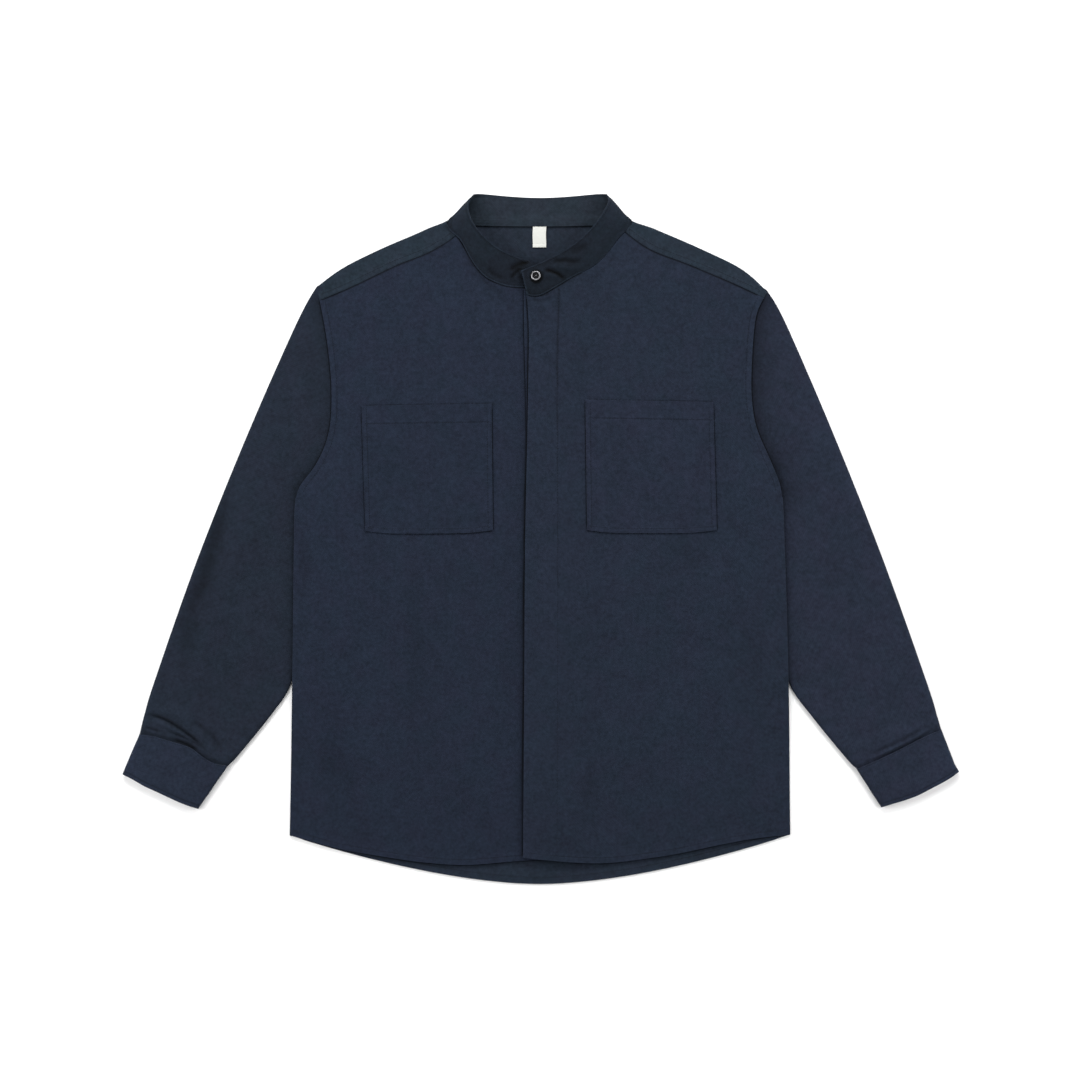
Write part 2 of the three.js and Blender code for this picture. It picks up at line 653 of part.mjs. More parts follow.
function makeCuff(side) {
  const rows = 3;
  const across = 7;
  const start = pointsAlong(cuffSeams[side], across).map((point) => point.setY(point.y - curveGap));
  const end = pointsAlong(cuffMouths[side], across);
  const between = (from, to) => respaced([from, to], rows);
  const edges = { start, end, outer: between(start[0], end[0]), inner: between(start[across], end[across]) };
  const topAt = () => cuffHeight - foldedPly / 2;
  addPiece("cuff_" + side, tubeWall(edges, foldedPly, topAt), clothMaterial);
}

// Trim
function makeButton() {
  const radius = buttonDiameter / 2;
  const profile = [
    [0, 0], [radius * 0.72, 0], [radius * 0.98, buttonHeight * 0.3], [radius, buttonHeight * 0.55],
    [radius * 0.93, buttonHeight * 0.88], [radius * 0.75, buttonHeight], [radius * 0.6, buttonHeight * 0.86],
    [radius * 0.52, buttonHeight * 0.4], [radius * 0.2, buttonHeight * 0.36],
    [radius * 0.14, buttonHeight * 0.62], [0, buttonHeight * 0.68],
  ].map(([x, y]) => new THREE.Vector2(x, y));
  const geometry = new THREE.LatheGeometry(profile, 32);
  geometry.deleteAttribute("uv");
  geometry.deleteAttribute("normal");
  geometry.rotateX(Math.PI / 2);
  const button = addPiece("collar_button", mergeVertices(geometry), buttonMaterial);
  const seat = bandPoint(buttonSection, buttonUp);
  const across = bandPoint(buttonSection - 0.2, buttonUp).sub(bandPoint(buttonSection + 0.2, buttonUp));
  const upward = bandPoint(buttonSection, buttonUp + 0.1).sub(bandPoint(buttonSection, buttonUp - 0.1));
  const normal = across.cross(upward).normalize();
  button.quaternion.setFromUnitVectors(new THREE.Vector3(0, 0, 1), normal);
  button.position.copy(seat.addScaledVector(normal, foldedPly / 2 + seamGap));
}

function makeLabel() {
  const corners = { top: { left: 8, right: -8.5 }, bottom: { left: 8.6, right: -7.6 } };
  const steps = 3;
  const grid = [];
  for (let row = 0; row <= steps; row++) {
    const down = row / steps;
    const right = lerp(corners.top.right, corners.bottom.right, down);
    const left = lerp(corners.top.left, corners.bottom.left, down);
    const y = backNeckY - 0.6 - labelLength * down;
    const z = ply + seamGap + labelThickness / 2 + labelLift * down * down;
    grid.push([right, (right + left) / 2, left].map((x) => new THREE.Vector3(x, y, z)));
  }
  addPiece("neck_label", clothWall(grid, labelThickness), labelMaterial);
}

makeBack();
makeFront("right");
makeFront("left");
makePlacket();
makeYoke();
makeBand();
for (const side of ["right", "left"]) {
  makePocket(side);
  makeSleeve(side);
  makeCuff(side);
}
makeButton();
makeLabel();

export default jacket;
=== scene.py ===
import bmesh
import bpy
import json
import math
import numpy as np
from mathutils import Matrix, Vector, noise
from mathutils.bvhtree import BVHTree

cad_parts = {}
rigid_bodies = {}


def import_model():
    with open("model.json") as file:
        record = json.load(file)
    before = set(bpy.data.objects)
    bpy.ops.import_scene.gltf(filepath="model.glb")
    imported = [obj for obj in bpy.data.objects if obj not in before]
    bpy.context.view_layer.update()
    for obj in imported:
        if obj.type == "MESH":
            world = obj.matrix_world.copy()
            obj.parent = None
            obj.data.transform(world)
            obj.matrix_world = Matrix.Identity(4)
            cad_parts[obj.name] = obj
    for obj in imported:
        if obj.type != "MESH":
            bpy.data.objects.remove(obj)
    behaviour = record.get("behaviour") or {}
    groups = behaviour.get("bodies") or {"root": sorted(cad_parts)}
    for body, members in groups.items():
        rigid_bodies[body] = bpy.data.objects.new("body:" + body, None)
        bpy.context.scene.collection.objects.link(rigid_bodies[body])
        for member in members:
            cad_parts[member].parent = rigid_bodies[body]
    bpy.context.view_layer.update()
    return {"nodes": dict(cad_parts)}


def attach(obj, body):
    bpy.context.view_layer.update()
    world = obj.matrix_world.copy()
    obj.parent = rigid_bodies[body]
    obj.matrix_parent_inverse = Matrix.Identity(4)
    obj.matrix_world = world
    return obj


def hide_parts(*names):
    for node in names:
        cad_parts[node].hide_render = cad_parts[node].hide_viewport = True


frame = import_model()
mm = 0.001
cornerTurn = math.radians(38)  # an edge that turns by more than this keeps its corner


# picking, copying and finishing
def only(piece):
    if bpy.context.mode != "OBJECT":
        bpy.ops.object.mode_set(mode="OBJECT")
    bpy.ops.object.select_all(action="DESELECT")
    piece.select_set(True)
    bpy.context.view_layer.objects.active = piece


def editing(piece, kind="FACE", pick="DESELECT"):
    # into edit mode with nothing picked, everything picked, or what was picked before
    only(piece)
    bpy.ops.object.mode_set(mode="EDIT")
    bpy.ops.mesh.select_mode(type=kind)
    if pick != "KEEP":
        bpy.ops.mesh.select_all(action=pick)


def done():
    bpy.ops.mesh.select_all(action="DESELECT")
    bpy.ops.object.mode_set(mode="OBJECT")


def onAllFaces(piece, tool, **settings):
    editing(piece, pick="SELECT")
    tool(**settings)
    done()


def pieceFrom(mesh, name):
    piece = bpy.data.objects.new(name, mesh)
    bpy.context.scene.collection.objects.link(piece)
    return piece


def finishWith(piece, kind, **settings):
    only(piece)
    added = piece.modifiers.new(kind.title(), kind)
    for name, value in settings.items():
        setattr(added, name, value)
    bpy.ops.object.modifier_apply(modifier=added.name)


def pieceOf(points, faces, name):
    mesh = bpy.data.meshes.new(name)
    mesh.from_pydata(points, [], faces)
    return pieceFrom(mesh, name)


def copyOf(node, name):
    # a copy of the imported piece's mesh, with its loose triangles joined into quads
    mesh = frame["nodes"][node].data.copy()
    mesh.materials.clear()
    piece = pieceFrom(mesh, name)
    editing(piece, pick="SELECT")
    bpy.ops.mesh.customdata_custom_splitnormals_clear()
    bpy.ops.mesh.remove_doubles(threshold=0.01 * mm)
    bpy.ops.mesh.tris_convert_to_quads(
        face_threshold=math.pi, shape_threshold=math.pi, topology_influence=1)
    done()
    return piece


def deleteSelected(piece):
    editing(piece, pick="KEEP")
    bpy.ops.mesh.delete(type="FACE")
    done()


def topSkin(node, name):
    # only the upper side of a flat wall of cloth
    piece = copyOf(node, name)
    for face in piece.data.polygons:
        face.select = face.normal.z < 0.5
    deleteSelected(piece)
    return piece


def linkedSkin(piece, seed):
    # keeps what hangs together with the face nearest the seed
    place = Vector(seed) * mm
    nearest = min(piece.data.polygons, key=lambda face: (face.center - place).length)
    nearest.select = True
    editing(piece, pick="KEEP")
    bpy.ops.mesh.select_linked(delimit={"SEAM"})
    bpy.ops.mesh.select_all(action="INVERT")
    bpy.ops.mesh.delete(type="FACE")
    bpy.ops.mesh.select_all(action="SELECT")
    bpy.ops.mesh.mark_seam(clear=True)
    done()


def outerSkin(node, name, seed, sharp=62):
    # one side of a wall that folds over, up to its sharp rims
    piece = copyOf(node, name)
    editing(piece, "EDGE")
    bpy.ops.mesh.edges_select_sharp(sharpness=math.radians(sharp))
    bpy.ops.mesh.mark_seam(clear=False)
    done()
    linkedSkin(piece, seed)
    return piece


def sideSkin(node, name, seed, thickness):
    # one side of a twisted wall: its rims are the faces as narrow as the cloth is thick
    piece = copyOf(node, name)
    for face in piece.data.polygons:
        corners = [piece.data.vertices[i].co for i in face.vertices]
        shortest = min((a - b).length for a, b in zip(corners, corners[1:] + corners[:1]))
        face.select = shortest < thickness * 1.2 * mm
    deleteSelected(piece)
    linkedSkin(piece, seed)
    return piece


def refine(piece, ring, levels):
    # a narrow ring of faces inside the edges keeps the hems crisp, then the cloth is made fine
    if ring:
        onAllFaces(piece, bpy.ops.mesh.inset, thickness=ring * mm, use_boundary=True, use_even_offset=True)
    wanted = pointsOf(piece)
    corners = np.zeros(len(wanted))
    for loop in rimLoops(piece):
        for before, here, after in zip(loop[-1:] + loop[:-1], loop, loop[1:] + loop[:1]):
            come, go = Vector(wanted[here] - wanted[before]), Vector(wanted[after] - wanted[here])
            if come.length > 0 and go.length > 0 and come.angle(go) > cornerTurn:
                corners[here] = 1
    giveValue(piece, "crease_vert", corners)
    # smoothing draws the cloth in, so its points are first moved out until it lies where it should
    moved = wanted.copy()
    for again in range(3):
        trial = pieceFrom(piece.data.copy(), "trial")
        setPoints(trial, moved)
        finishWith(trial, "SUBSURF", levels=2, render_levels=2, boundary_smooth="PRESERVE_CORNERS")
        moved += 0.9 * (wanted - pointsOf(trial)[:len(wanted)])
        bpy.data.objects.remove(trial)
    setPoints(piece, moved)
    finishWith(piece, "SUBSURF", levels=levels, render_levels=levels, boundary_smooth="PRESERVE_CORNERS")
    piece.data.attributes.remove(piece.data.attributes["crease_vert"])


# points, in millimetres
def pointsOf(piece):
    co = np.zeros(len(piece.data.vertices) * 3, np.float32)
    piece.data.vertices.foreach_get("co", co)
    return co.reshape(-1, 3).astype(float) / mm


def setPoints(piece, points):
    piece.data.vertices.foreach_set("co", (points * mm).astype(np.float32).ravel())
    piece.data.update()


def rimLoops(piece):
    # every open edge of the cloth as a run of vertex numbers, in order
    uses = {}
    for face in piece.data.polygons:
        for key in face.edge_keys:
            uses[key] = uses.get(key, 0) + 1
    nextTo = {}
    for (a, b), count in uses.items():
        if count == 1:
            nextTo.setdefault(a, []).append(b)
            nextTo.setdefault(b, []).append(a)
    loops = []
    while nextTo:
        start = min(nextTo)
        loop, last = [start], None
        while True:
            ahead = [v for v in nextTo[loop[-1]] if v != last]
            last = loop[-1]
            if not ahead or ahead[0] == start:
                break
            loop.append(ahead[0])
        for v in loop:
            nextTo.pop(v, None)
        loops.append(loop)
    return loops


def rimRun(piece, wanted):
    # the longest stretch of open edge whose points are all wanted
    co = pointsOf(piece)
    best = []
    for loop in rimLoops(piece):
        good = [bool(wanted(*co[v])) for v in loop]
        if all(good):
            run = loop + loop[:1]
            best = run if len(run) > len(best) else best
            continue
        turn = good.index(False)
        loop, good = loop[turn:] + loop[:turn], good[turn:] + good[:turn]
        run = []
        for v, keep in zip(loop + loop[:1], good + [False]):
            if keep:
                run.append(v)
            else:
                best = run if len(run) > len(best) else best
                run = []
    return best


def lengthsOf(path):
    steps = np.linalg.norm(np.diff(path, axis=0), axis=1)
    return np.concatenate([[0], np.cumsum(steps)])


def respace(path, count):
    at = lengthsOf(path)
    places = np.linspace(0, at[-1], count)
    return np.stack([np.interp(places, at, path[:, k]) for k in range(path.shape[1])], axis=1)


def curveThrough(rows, count=60):
    # a smooth line through given points
    rows = np.array(rows, float)
    ends = np.vstack([2 * rows[0] - rows[1], rows, 2 * rows[-1] - rows[-2]])
    out = []
    for i in range(1, len(ends) - 2):
        a, b, c, d = ends[i - 1:i + 3]
        t = np.linspace(0, 1, 24, endpoint=False)[:, None]
        out.append(0.5 * (2 * b + (c - a) * t + (2 * a - 5 * b + 4 * c - d) * t ** 2
                          + (3 * b - a - 3 * c + d) * t ** 3))
    out.append(rows[-1:])
    return respace(np.vstack(out), count)


def toPath(points, path):
    # how far each point is from a path, on which side of it, and how far along it that is
    k = path.shape[1]
    p = points[:, :k]
    at = lengthsOf(path)
    best = np.full(len(p), 1e9)
    along = np.zeros(len(p))
    side = np.ones(len(p))
    for i in range(len(path) - 1):
        a, d = path[i], path[i + 1] - path[i]
        long = max(float(d @ d), 1e-9)
        t = np.clip(((p - a) @ d) / long, 0, 1)
        off = p - (a + t[:, None] * d)
        dist = np.linalg.norm(off, axis=1)
        near = dist < best
        best[near] = dist[near]
        along[near] = at[i] + t[near] * math.sqrt(long)
        side[near] = np.sign(d[0] * off[near, 1] - d[1] * off[near, 0])
    return best, side, along


def step(value, low, high):
    t = np.clip((value - low) / (high - low), 0, 1)
    return t * t * (3 - 2 * t)


def wander(points, size, seed):
    # soft noise from -1 to 1 that changes over about this many millimetres each way
    sx, sy = size
    right, down = seed * 7.3, seed * 3.1  # each seed has its own stretch of the pattern
    return np.array([noise.noise((x / sx + right, y / sy - down, seed)) for x, y in points[:, :2]])


def hump(value, middle, width):
    # one at the middle, falling off softly on both sides
    return np.exp(-((value - middle) / width) ** 2)


def crease(points, rows, width, ends=0.25):
    # one crease along listed points, which runs out softly at its ends
    path = curveThrough(rows)
    dist, along = toPath(points, path)[::2]
    total = lengthsOf(path)[-1]
    return step(along, 0, ends * total) * (1 - step(along, (1 - ends) * total, total)) * hump(dist, 0, width)


def folds(points, rows, scale=1.0):
    # all the creases of one piece: their height, and the painted shade laid along them (below nought it is a
    # painted highlight)
    height, paintedShading = np.zeros(len(points)), np.zeros(len(points))
    for path, width, depth, dark in rows:  # a ridge has a depth below nought
        form = crease(points, path, width)
        height -= scale * depth * form
        paintedShading += dark * form
    return height, paintedShading


def giveValue(piece, name, values):
    layer = piece.data.attributes.get(name) or piece.data.attributes.new(name, "FLOAT", "POINT")
    layer.data.foreach_set("value", values.astype(np.float32))


def valuesOf(piece, name):
    values = np.zeros(len(piece.data.vertices), np.float32)
    if name in piece.data.attributes:
        piece.data.attributes[name].data.foreach_get("value", values)
    return values


def treeOf(piece):
    return BVHTree.FromPolygons([v.co for v in piece.data.vertices],
                                [p.vertices for p in piece.data.polygons])


def dropOnto(tree, x, y):
    # where a plumb line meets a piece, and the cloth's normal there
    return tree.ray_cast(Vector((x * mm, y * mm, 0.2)), Vector((0, 0, -1)))[:2]


def heightOn(tree, x, y, otherwise=None):
    hit = dropOnto(tree, x, y)[0]
    return otherwise if hit is None else hit.z / mm


def drawOut(piece, run, profile):
    # draws a stretch of open edge outwards in rows of (reach, drop), to roll it or tuck it under
    mesh = bmesh.new()
    mesh.from_mesh(piece.data)
    mesh.verts.ensure_lookup_table()
    current = [mesh.verts[i] for i in run]
    co = np.array([v.co for v in current])
    tangent = np.gradient(co, axis=0)
    tangent[:, 2] = 0
    out = np.stack([tangent[:, 1], -tangent[:, 0], np.zeros(len(co))], axis=1)
    out /= np.maximum(np.linalg.norm(out, axis=1, keepdims=True), 1e-12)
    middle = len(current) // 2
    inner = np.mean([face.calc_center_median() for face in current[middle].link_faces], axis=0)
    if (inner - co[middle]) @ out[middle] > 0:
        out = -out
    for reach, drop in profile:
        lower = np.array([0, 0, drop * mm])
        new = [mesh.verts.new(Vector(c + o * reach * mm - lower)) for c, o in zip(co, out)]
        for i in range(len(run) - 1):
            if np.linalg.norm(co[i + 1] - co[i]) > 1e-4 * mm:
                mesh.faces.new((current[i], current[i + 1], new[i + 1], new[i]))
        current = new
    bmesh.ops.recalc_face_normals(mesh, faces=mesh.faces)
    mesh.to_mesh(piece.data)
    mesh.free()
    piece.data.update()


def tucked(reach, drop):
    # the profile of an edge that goes under its neighbour
    return [(reach * 0.1, drop * 0.2), (reach * 0.25, drop * 0.65), (reach * 0.5, drop), (reach, drop)]


def faceUp(piece):
    # all faces to one side, so that the upper side of the cloth is its front
    onAllFaces(piece, bpy.ops.mesh.normals_make_consistent, inside=False)
    if sum(face.normal.z * face.area for face in piece.data.polygons) <= 0:
        onAllFaces(piece, bpy.ops.mesh.flip_normals)


def sewn(piece, node, material, thickness, bevel=0.3):
    # gives the cloth its thickness and soft edges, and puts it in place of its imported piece
    finishWith(piece, "SOLIDIFY", thickness=thickness * mm, offset=-1, use_even_offset=False)
    if bevel:
        finishWith(piece, "BEVEL", width=bevel * mm, segments=2, limit_method="ANGLE",
                   angle_limit=math.radians(50))
    only(piece)
    bpy.ops.object.shade_smooth()
    piece.data.materials.clear()
    piece.data.materials.append(material)
    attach(piece, "root")
    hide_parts(*([node] if isinstance(node, str) else node))


def paintFaces(piece, material, wanted):
    # another cloth on the faces whose middles are wanted
    piece.data.materials.append(material)
    for face in piece.data.polygons:
        if wanted(*(face.center / mm)):
            face.material_index = len(piece.data.materials) - 1


def spaced(path, gap, least=12):
    # the same line seen from above, with its points about this far apart
    path = np.array(path, float)[:, :2]
    return respace(path, max(least, int(lengthsOf(path)[-1] / gap)))


def sideOf(place, path):
    # on which side of a path a place lies
    return toPath(np.array([place], float), path)[1][0]


def shadeFrom(points, path, covered, shift):
    # ten along an edge that lies on this cloth, falling off away from it and well under it, for painting
    # shade beside that edge
    path = spaced(path, 6)
    inside = sideOf(covered, path)
    dist, side, along = toPath(points, path)
    within = (along > 0) & (along < lengthsOf(path)[-1])
    out = np.where((side == inside) & within, -dist, dist) + shift
    return np.clip(np.where(out > -0.5, 10 - out, 10.5 - np.maximum(0, -out - 8)), 0, 10.5)


def shifted(path, distance, centre):
    # a line beside a path, on the side where the centre lies
    path = np.array(path, float)[:, :2]
    tangent = np.gradient(path, axis=0)
    side = np.stack([-tangent[:, 1], tangent[:, 0]], axis=1)
    side /= np.maximum(np.linalg.norm(side, axis=1, keepdims=True), 1e-9)
    middle = len(path) // 2
    if (np.array(centre) - path[middle]) @ side[middle] < 0:
        side = -side
    return path + side * distance


def closeTo(points, lines):
    # ten on a stitch line, falling to nought ten millimetres away from it
    close = np.zeros(len(points))
    for line, show in lines:
        close = np.maximum(close, 9 + show - toPath(points, spaced(line, 6))[0])
    return close


def fromRim(points, path):
    return toPath(points, spaced(path, 5))[0]


# materials
def linear(level):
    level = level / 255
    return level / 12.92 if level <= 0.04045 else ((level + 0.055) / 1.055) ** 2.4


def tint(base, amount):
    return tuple(min(1, amount * c) for c in base) + (1,)


class Nodes:
    # short ways to add nodes to one material
    def __init__(self, name):
        self.material = bpy.data.materials.new(name)
        self.material.use_nodes = True
        self.tree = self.material.node_tree
        self.shader = self.tree.nodes["Principled BSDF"]

    def add(self, kind, **settings):
        node = self.tree.nodes.new("ShaderNode" + kind)
        for name, value in settings.items():
            setattr(node, name, value)
        return node

    def put(self, value, socket):
        if isinstance(value, (int, float, tuple)):
            socket.default_value = value
        else:
            self.tree.links.new(value, socket)

    def surface(self, colour, rough, specular, more={}):
        # plain values are set on the shader's own sockets
        values = {"Base Color": colour, "Roughness": rough, "Specular IOR Level": specular, **more}
        for name, value in values.items():
            self.put(value, self.shader.inputs[name])

    def relief(self, height, strength, distance):
        bump = self.add("Bump")
        bump.inputs["Strength"].default_value = strength
        bump.inputs["Distance"].default_value = distance
        self.put(height, bump.inputs["Height"])
        self.put(bump.outputs["Normal"], self.shader.inputs["Normal"])

    def attribute(self, name):
        return self.add("Attribute", attribute_name=name).outputs["Fac"]

    def math(self, operation, a, b=0.0, clamp=False):
        node = self.add("Math", operation=operation, use_clamp=clamp)
        self.put(a, node.inputs[0])
        self.put(b, node.inputs[1])
        return node.outputs[0]

    def total(self, *parts):
        # the sum of some values, each times its amount
        whole = None
        for value, amount in parts:
            value = self.math("MULTIPLY", value, amount)
            whole = value if whole is None else self.math("ADD", whole, value)
        return whole

    def spread(self, value, low, high, newLow=0.0, newHigh=1.0, smooth=True):
        node = self.add("MapRange", interpolation_type="SMOOTHSTEP" if smooth else "LINEAR")
        self.put(value, node.inputs["Value"])
        ends = {"From Min": low, "From Max": high, "To Min": newLow, "To Max": newHigh}
        for name, number in ends.items():
            node.inputs[name].default_value = number
        return node.outputs["Result"]

    def noise(self, vector, scale, detail=2.0, roughness=0.5):
        node = self.add("TexNoise")
        self.put(vector, node.inputs["Vector"])
        node.inputs["Scale"].default_value = scale
        node.inputs["Detail"].default_value = detail
        node.inputs["Roughness"].default_value = roughness
        return node.outputs["Fac"]

    def waves(self, vector, scale, direction):
        node = self.add("TexWave", wave_type="BANDS", bands_direction=direction)
        self.put(vector, node.inputs["Vector"])
        node.inputs["Scale"].default_value = scale
        node.inputs["Distortion"].default_value = 1.5
        node.inputs["Detail"].default_value = 1.0
        node.inputs["Detail Scale"].default_value = 0.6
        return node.outputs["Fac"]

    def mix(self, factor, a, b, blend="MIX"):
        node = self.add("Mix", data_type="RGBA", blend_type=blend)
        self.put(factor, node.inputs[0])
        self.put(a, node.inputs[6])
        self.put(b, node.inputs[7])
        return node.outputs[2]


# floor, lights and camera
studio = {"floor": (0.93, 0.93, 0.93), "floorSize": 60, "floorHeight": -0.0004, "world": 0.22,
          "focal": 85, "sensor": 36, "cameraPlace": (0, -0.0017, 2.9325),
          "lights": {"topLight": ((0, 2.1, 1.35), (2.4, 1.0), 78),  # place, size and watts
                     "leftLight": ((-2.1, 0.3, 1.25), (1.0, 2.0), 52),
                     "rightLight": ((2.1, 0.3, 1.25), (1.0, 2.0), 42),
                     "lowLight": ((0, -2.1, 1.6), (2.4, 1.0), 14)}}


def softLight(name, place, size, watts):
    # a panel that shines at the middle of the garment
    bpy.ops.object.light_add(type="AREA", location=place)
    light = bpy.context.active_object
    light.name = name
    light.data.shape = "RECTANGLE"
    light.data.size, light.data.size_y = size
    light.data.energy = watts
    light.rotation_euler = (-Vector(place)).to_track_quat("-Z", "Y").to_euler()


bpy.ops.object.camera_add(location=studio["cameraPlace"])
camera = bpy.context.active_object
camera.data.lens = studio["focal"]
camera.data.sensor_width = studio["sensor"]
bpy.context.scene.camera = camera
for name, (place, size, watts) in studio["lights"].items():
    softLight(name, place, size, watts)

world = bpy.data.worlds.new("studioWorld")
world.use_nodes = True
background = world.node_tree.nodes["Background"]
background.inputs["Color"].default_value = (1, 1, 1, 1)
background.inputs["Strength"].default_value = studio["world"]
bpy.context.scene.world = world
bpy.context.scene.view_settings.view_transform = "Standard"

bpy.ops.mesh.primitive_plane_add(size=studio["floorSize"], location=(0, 0, studio["floorHeight"]))
floor = bpy.context.active_object
floor.name = "floor"
paper = Nodes("paperWhite")
paper.surface((*studio["floor"], 1), 0.9, 0.1)
floor.data.materials.append(paper.material)
print("studio set")

# cloth
clothLook = {"thread": 1 / 0.0007, "grain": 255, "mottle": 85, "cloud": 14, "hue": 32.2, "pucker": 260,
             "rough": 0.92, "specular": 0.08, "sheen": 0.04, "sheenRough": 0.5, "bump": 0.55,
             "bumpHeight": 0.0005, "plum": (1.16, 0.95, 1.02), "teal": (0.88, 1.04, 0.99),
             "light": 1.75, "gloss": 0.006,  # what the lights and the gloss add to a plain colour
             "threadLevels": (29, 34, 45), "threadTwist": 600}


def clothMaterial(name, levels, turn=0.0):
    # brushed twill: threads, a fine grain of nap, soft mottle and worn-in clouds of colour, with painted
    # shade in the stitch grooves, beside edges lying on the cloth and in its creases
    n = Nodes(name)
    turned = n.add("Mapping")
    n.put(n.add("TexCoord").outputs["Object"], turned.inputs["Vector"])
    turned.inputs["Rotation"].default_value = (0, 0, math.radians(turn))
    along = turned.outputs["Vector"]
    warp = n.waves(along, clothLook["thread"] / 6.5, "DIAGONAL")
    weft = n.waves(along, clothLook["thread"] / 5.2, "X")
    grain = n.noise(along, clothLook["grain"], 3.0, 0.65)
    mottle = n.noise(along, clothLook["mottle"], 3.0, 0.6)
    cloud = n.noise(along, clothLook["cloud"], 2.0, 0.55)
    hue = n.noise(along, clothLook["hue"], 3.0, 0.6)
    close, under = n.attribute("stitch"), n.attribute("creviceShade")
    groove, gather = n.spread(close, 8.7, 9.9), n.spread(close, 3.0, 9.0)
    creviceShade, hollowShade = n.spread(under, 8.3, 10.1), n.spread(under, 0.0, 10.0, smooth=False)
    around = [(n.math("SUBTRACT", pattern, 0.5), amount)
              for pattern, amount in ((grain, 1.65), (mottle, 0.78), (cloud, 0.28), (warp, 0.05))]
    # painted shade: darker in the stitch grooves, and a soft wide painted shade beside an edge lying on this
    # cloth
    shade = n.total(*around, (groove, -0.32), (n.math("MULTIPLY", hollowShade, hollowShade), -0.06))
    shade = n.math("ADD", shade, 0.5, clamp=True)
    base = [(linear(level) - clothLook["gloss"]) / clothLook["light"] for level in levels]
    plum, teal = [tint([c * f for c, f in zip(base, clothLook[dye])], 1) for dye in ("plum", "teal")]
    colour = n.mix(shade, tint(base, 0.5), tint(base, 1.5))
    colour = n.mix(0.3, colour, n.mix(n.spread(hue, 0.35, 0.65), teal, plum))
    # painted shade: the cloth made nearly black right beside an edge that lies on it
    colour = n.mix(n.math("MULTIPLY", creviceShade, 0.85), colour, tint(base, 0.2))
    # painted light and shade: the colour times one less the painted shading, darker in creases and under
    # edges, lighter on lit edges
    colour = n.mix(1.0, colour, n.math("SUBTRACT", 1.0, n.attribute("paintedShading")), "MULTIPLY")
    n.surface(colour, clothLook["rough"], clothLook["specular"],
              {"Sheen Weight": clothLook["sheen"], "Sheen Roughness": clothLook["sheenRough"]})
    pucker = n.math("MULTIPLY", n.noise(along, clothLook["pucker"], 2.0, 0.5), gather)
    height = n.total((grain, 0.34), (warp, 0.1), (weft, 0.06), (mottle, 0.4), (pucker, 0.7),
                     (groove, -0.55))
    n.relief(height, clothLook["bump"], clothLook["bumpHeight"])
    return n.material


def threadMaterial():
    n = Nodes("sewingThread")
    twist = n.waves(n.add("TexCoord").outputs["Object"], clothLook["threadTwist"], "DIAGONAL")
    base = [linear(level) / clothLook["light"] for level in clothLook["threadLevels"]]
    n.surface(n.mix(twist, tint(base, 0.8), tint(base, 1.15)), 0.8, 0.1)
    return n.material


# painted light and shade: one navy cloth given a lighter or darker level on each piece for the light that
# falls there
clothLevelsWithPaintedLight = {"frontClothRight": (41, 48, 62.7), "frontClothLeft": (41.6, 49, 63),
              "pocketClothRight": (40.4, 47.5, 62), "pocketClothLeft": (42.7, 49, 63.7),
              "yokeCloth": (43, 52.2, 62.7), "collarCloth": (38, 45.6, 56), "insideCloth": (43, 50, 61),
              "backCloth": (43.5, 51.4, 63.6), "bandInsideCloth": (45.5, 53.2, 62.7),
              "sleeveClothRight": (40.6, 47.3, 59.4), "sleeveClothLeft": (44.7, 51, 65.9),
              "cuffClothRight": (43.6, 50.2, 65), "cuffClothLeft": (45, 51.3, 66.4)}
clothTurns = {"sleeveClothRight": -22, "sleeveClothLeft": 22, "cuffClothRight": -26, "cuffClothLeft": 26}
cloths = {name: clothMaterial(name, levels, clothTurns.get(name, 0)) for name, levels in clothLevelsWithPaintedLight.items()}
thread = threadMaterial()
stitchLines = []  # piece and line
overlaps = []  # piece underneath, edge on it, a point on the covered side, shift, soft painted shade and its width; the piece underneath is painted darker beside the edge
bodyCentre = {"right": (-130, 0), "left": (130, 0)}


def gentle(points, seed, amount=0.3, long=(38, 230), wide=(85, 70)):
    # the slight waves of laid cloth: long upright ones, and shorter ones without a direction
    return amount * wander(points, long, seed) + 0.8 * amount * wander(points, wide, seed + 0.5)


# back
back = {"ring": 9, "levels": 3, "ply": 1.2, "hemWidth": 7.5, "hemRise": 0.45, "hemWave": 0.22,
        "hemDrop": 1.6, "drawnIn": 1.3}
backPanel = topSkin("back", "backPanel")
refine(backPanel, back["ring"], back["levels"])
p = pointsOf(backPanel)
hemRun = rimRun(backPanel, lambda x, y, z: y < -335 and abs(x) < 286.6)
sideRuns = [rimRun(backPanel, lambda x, y, z, s=s: s * x > 278 and -345 < y < 52) for s in (-1, 1)]
hem = p[hemRun]
fromHem = fromRim(p, hem)
hemStitch = shifted(hem, back["hemWidth"] - 1.2, (0, 0))
p[:, 2] += back["hemRise"] * (1 - step(fromHem, back["hemWidth"] - 0.6, back["hemWidth"] + 0.6))
p[:, 2] += back["hemWave"] * wander(p, (14, 60), 3.1) * (1 - step(fromHem, 6, 20)) * step(fromHem, 0, 3)
p[:, 1] -= back["hemDrop"] * (1 - step(fromHem, 0, 20)) * (1 - 0.6 * step(np.abs(p[:, 0] - 10), 40, 220))
for run in sideRuns:
    p[:, 0] -= np.sign(p[:, 0]) * back["drawnIn"] * (1 - step(fromRim(p, p[run]), 0, 12))
setPoints(backPanel, p)
giveValue(backPanel, "stitch", closeTo(p, [(hemStitch, 0.9)]))
# painted shade along the hem stitches and a painted highlight along the hem edge
giveValue(backPanel, "paintedShading",
          0.12 * hump(fromHem, back["hemWidth"] - 1.2, 1.2) - 0.22 * hump(fromHem, 0, 1.4))
faceUp(backPanel)
sewn(backPanel, "back", cloths["backCloth"], back["ply"])
stitchLines.append((backPanel, hemStitch))
print("back made")

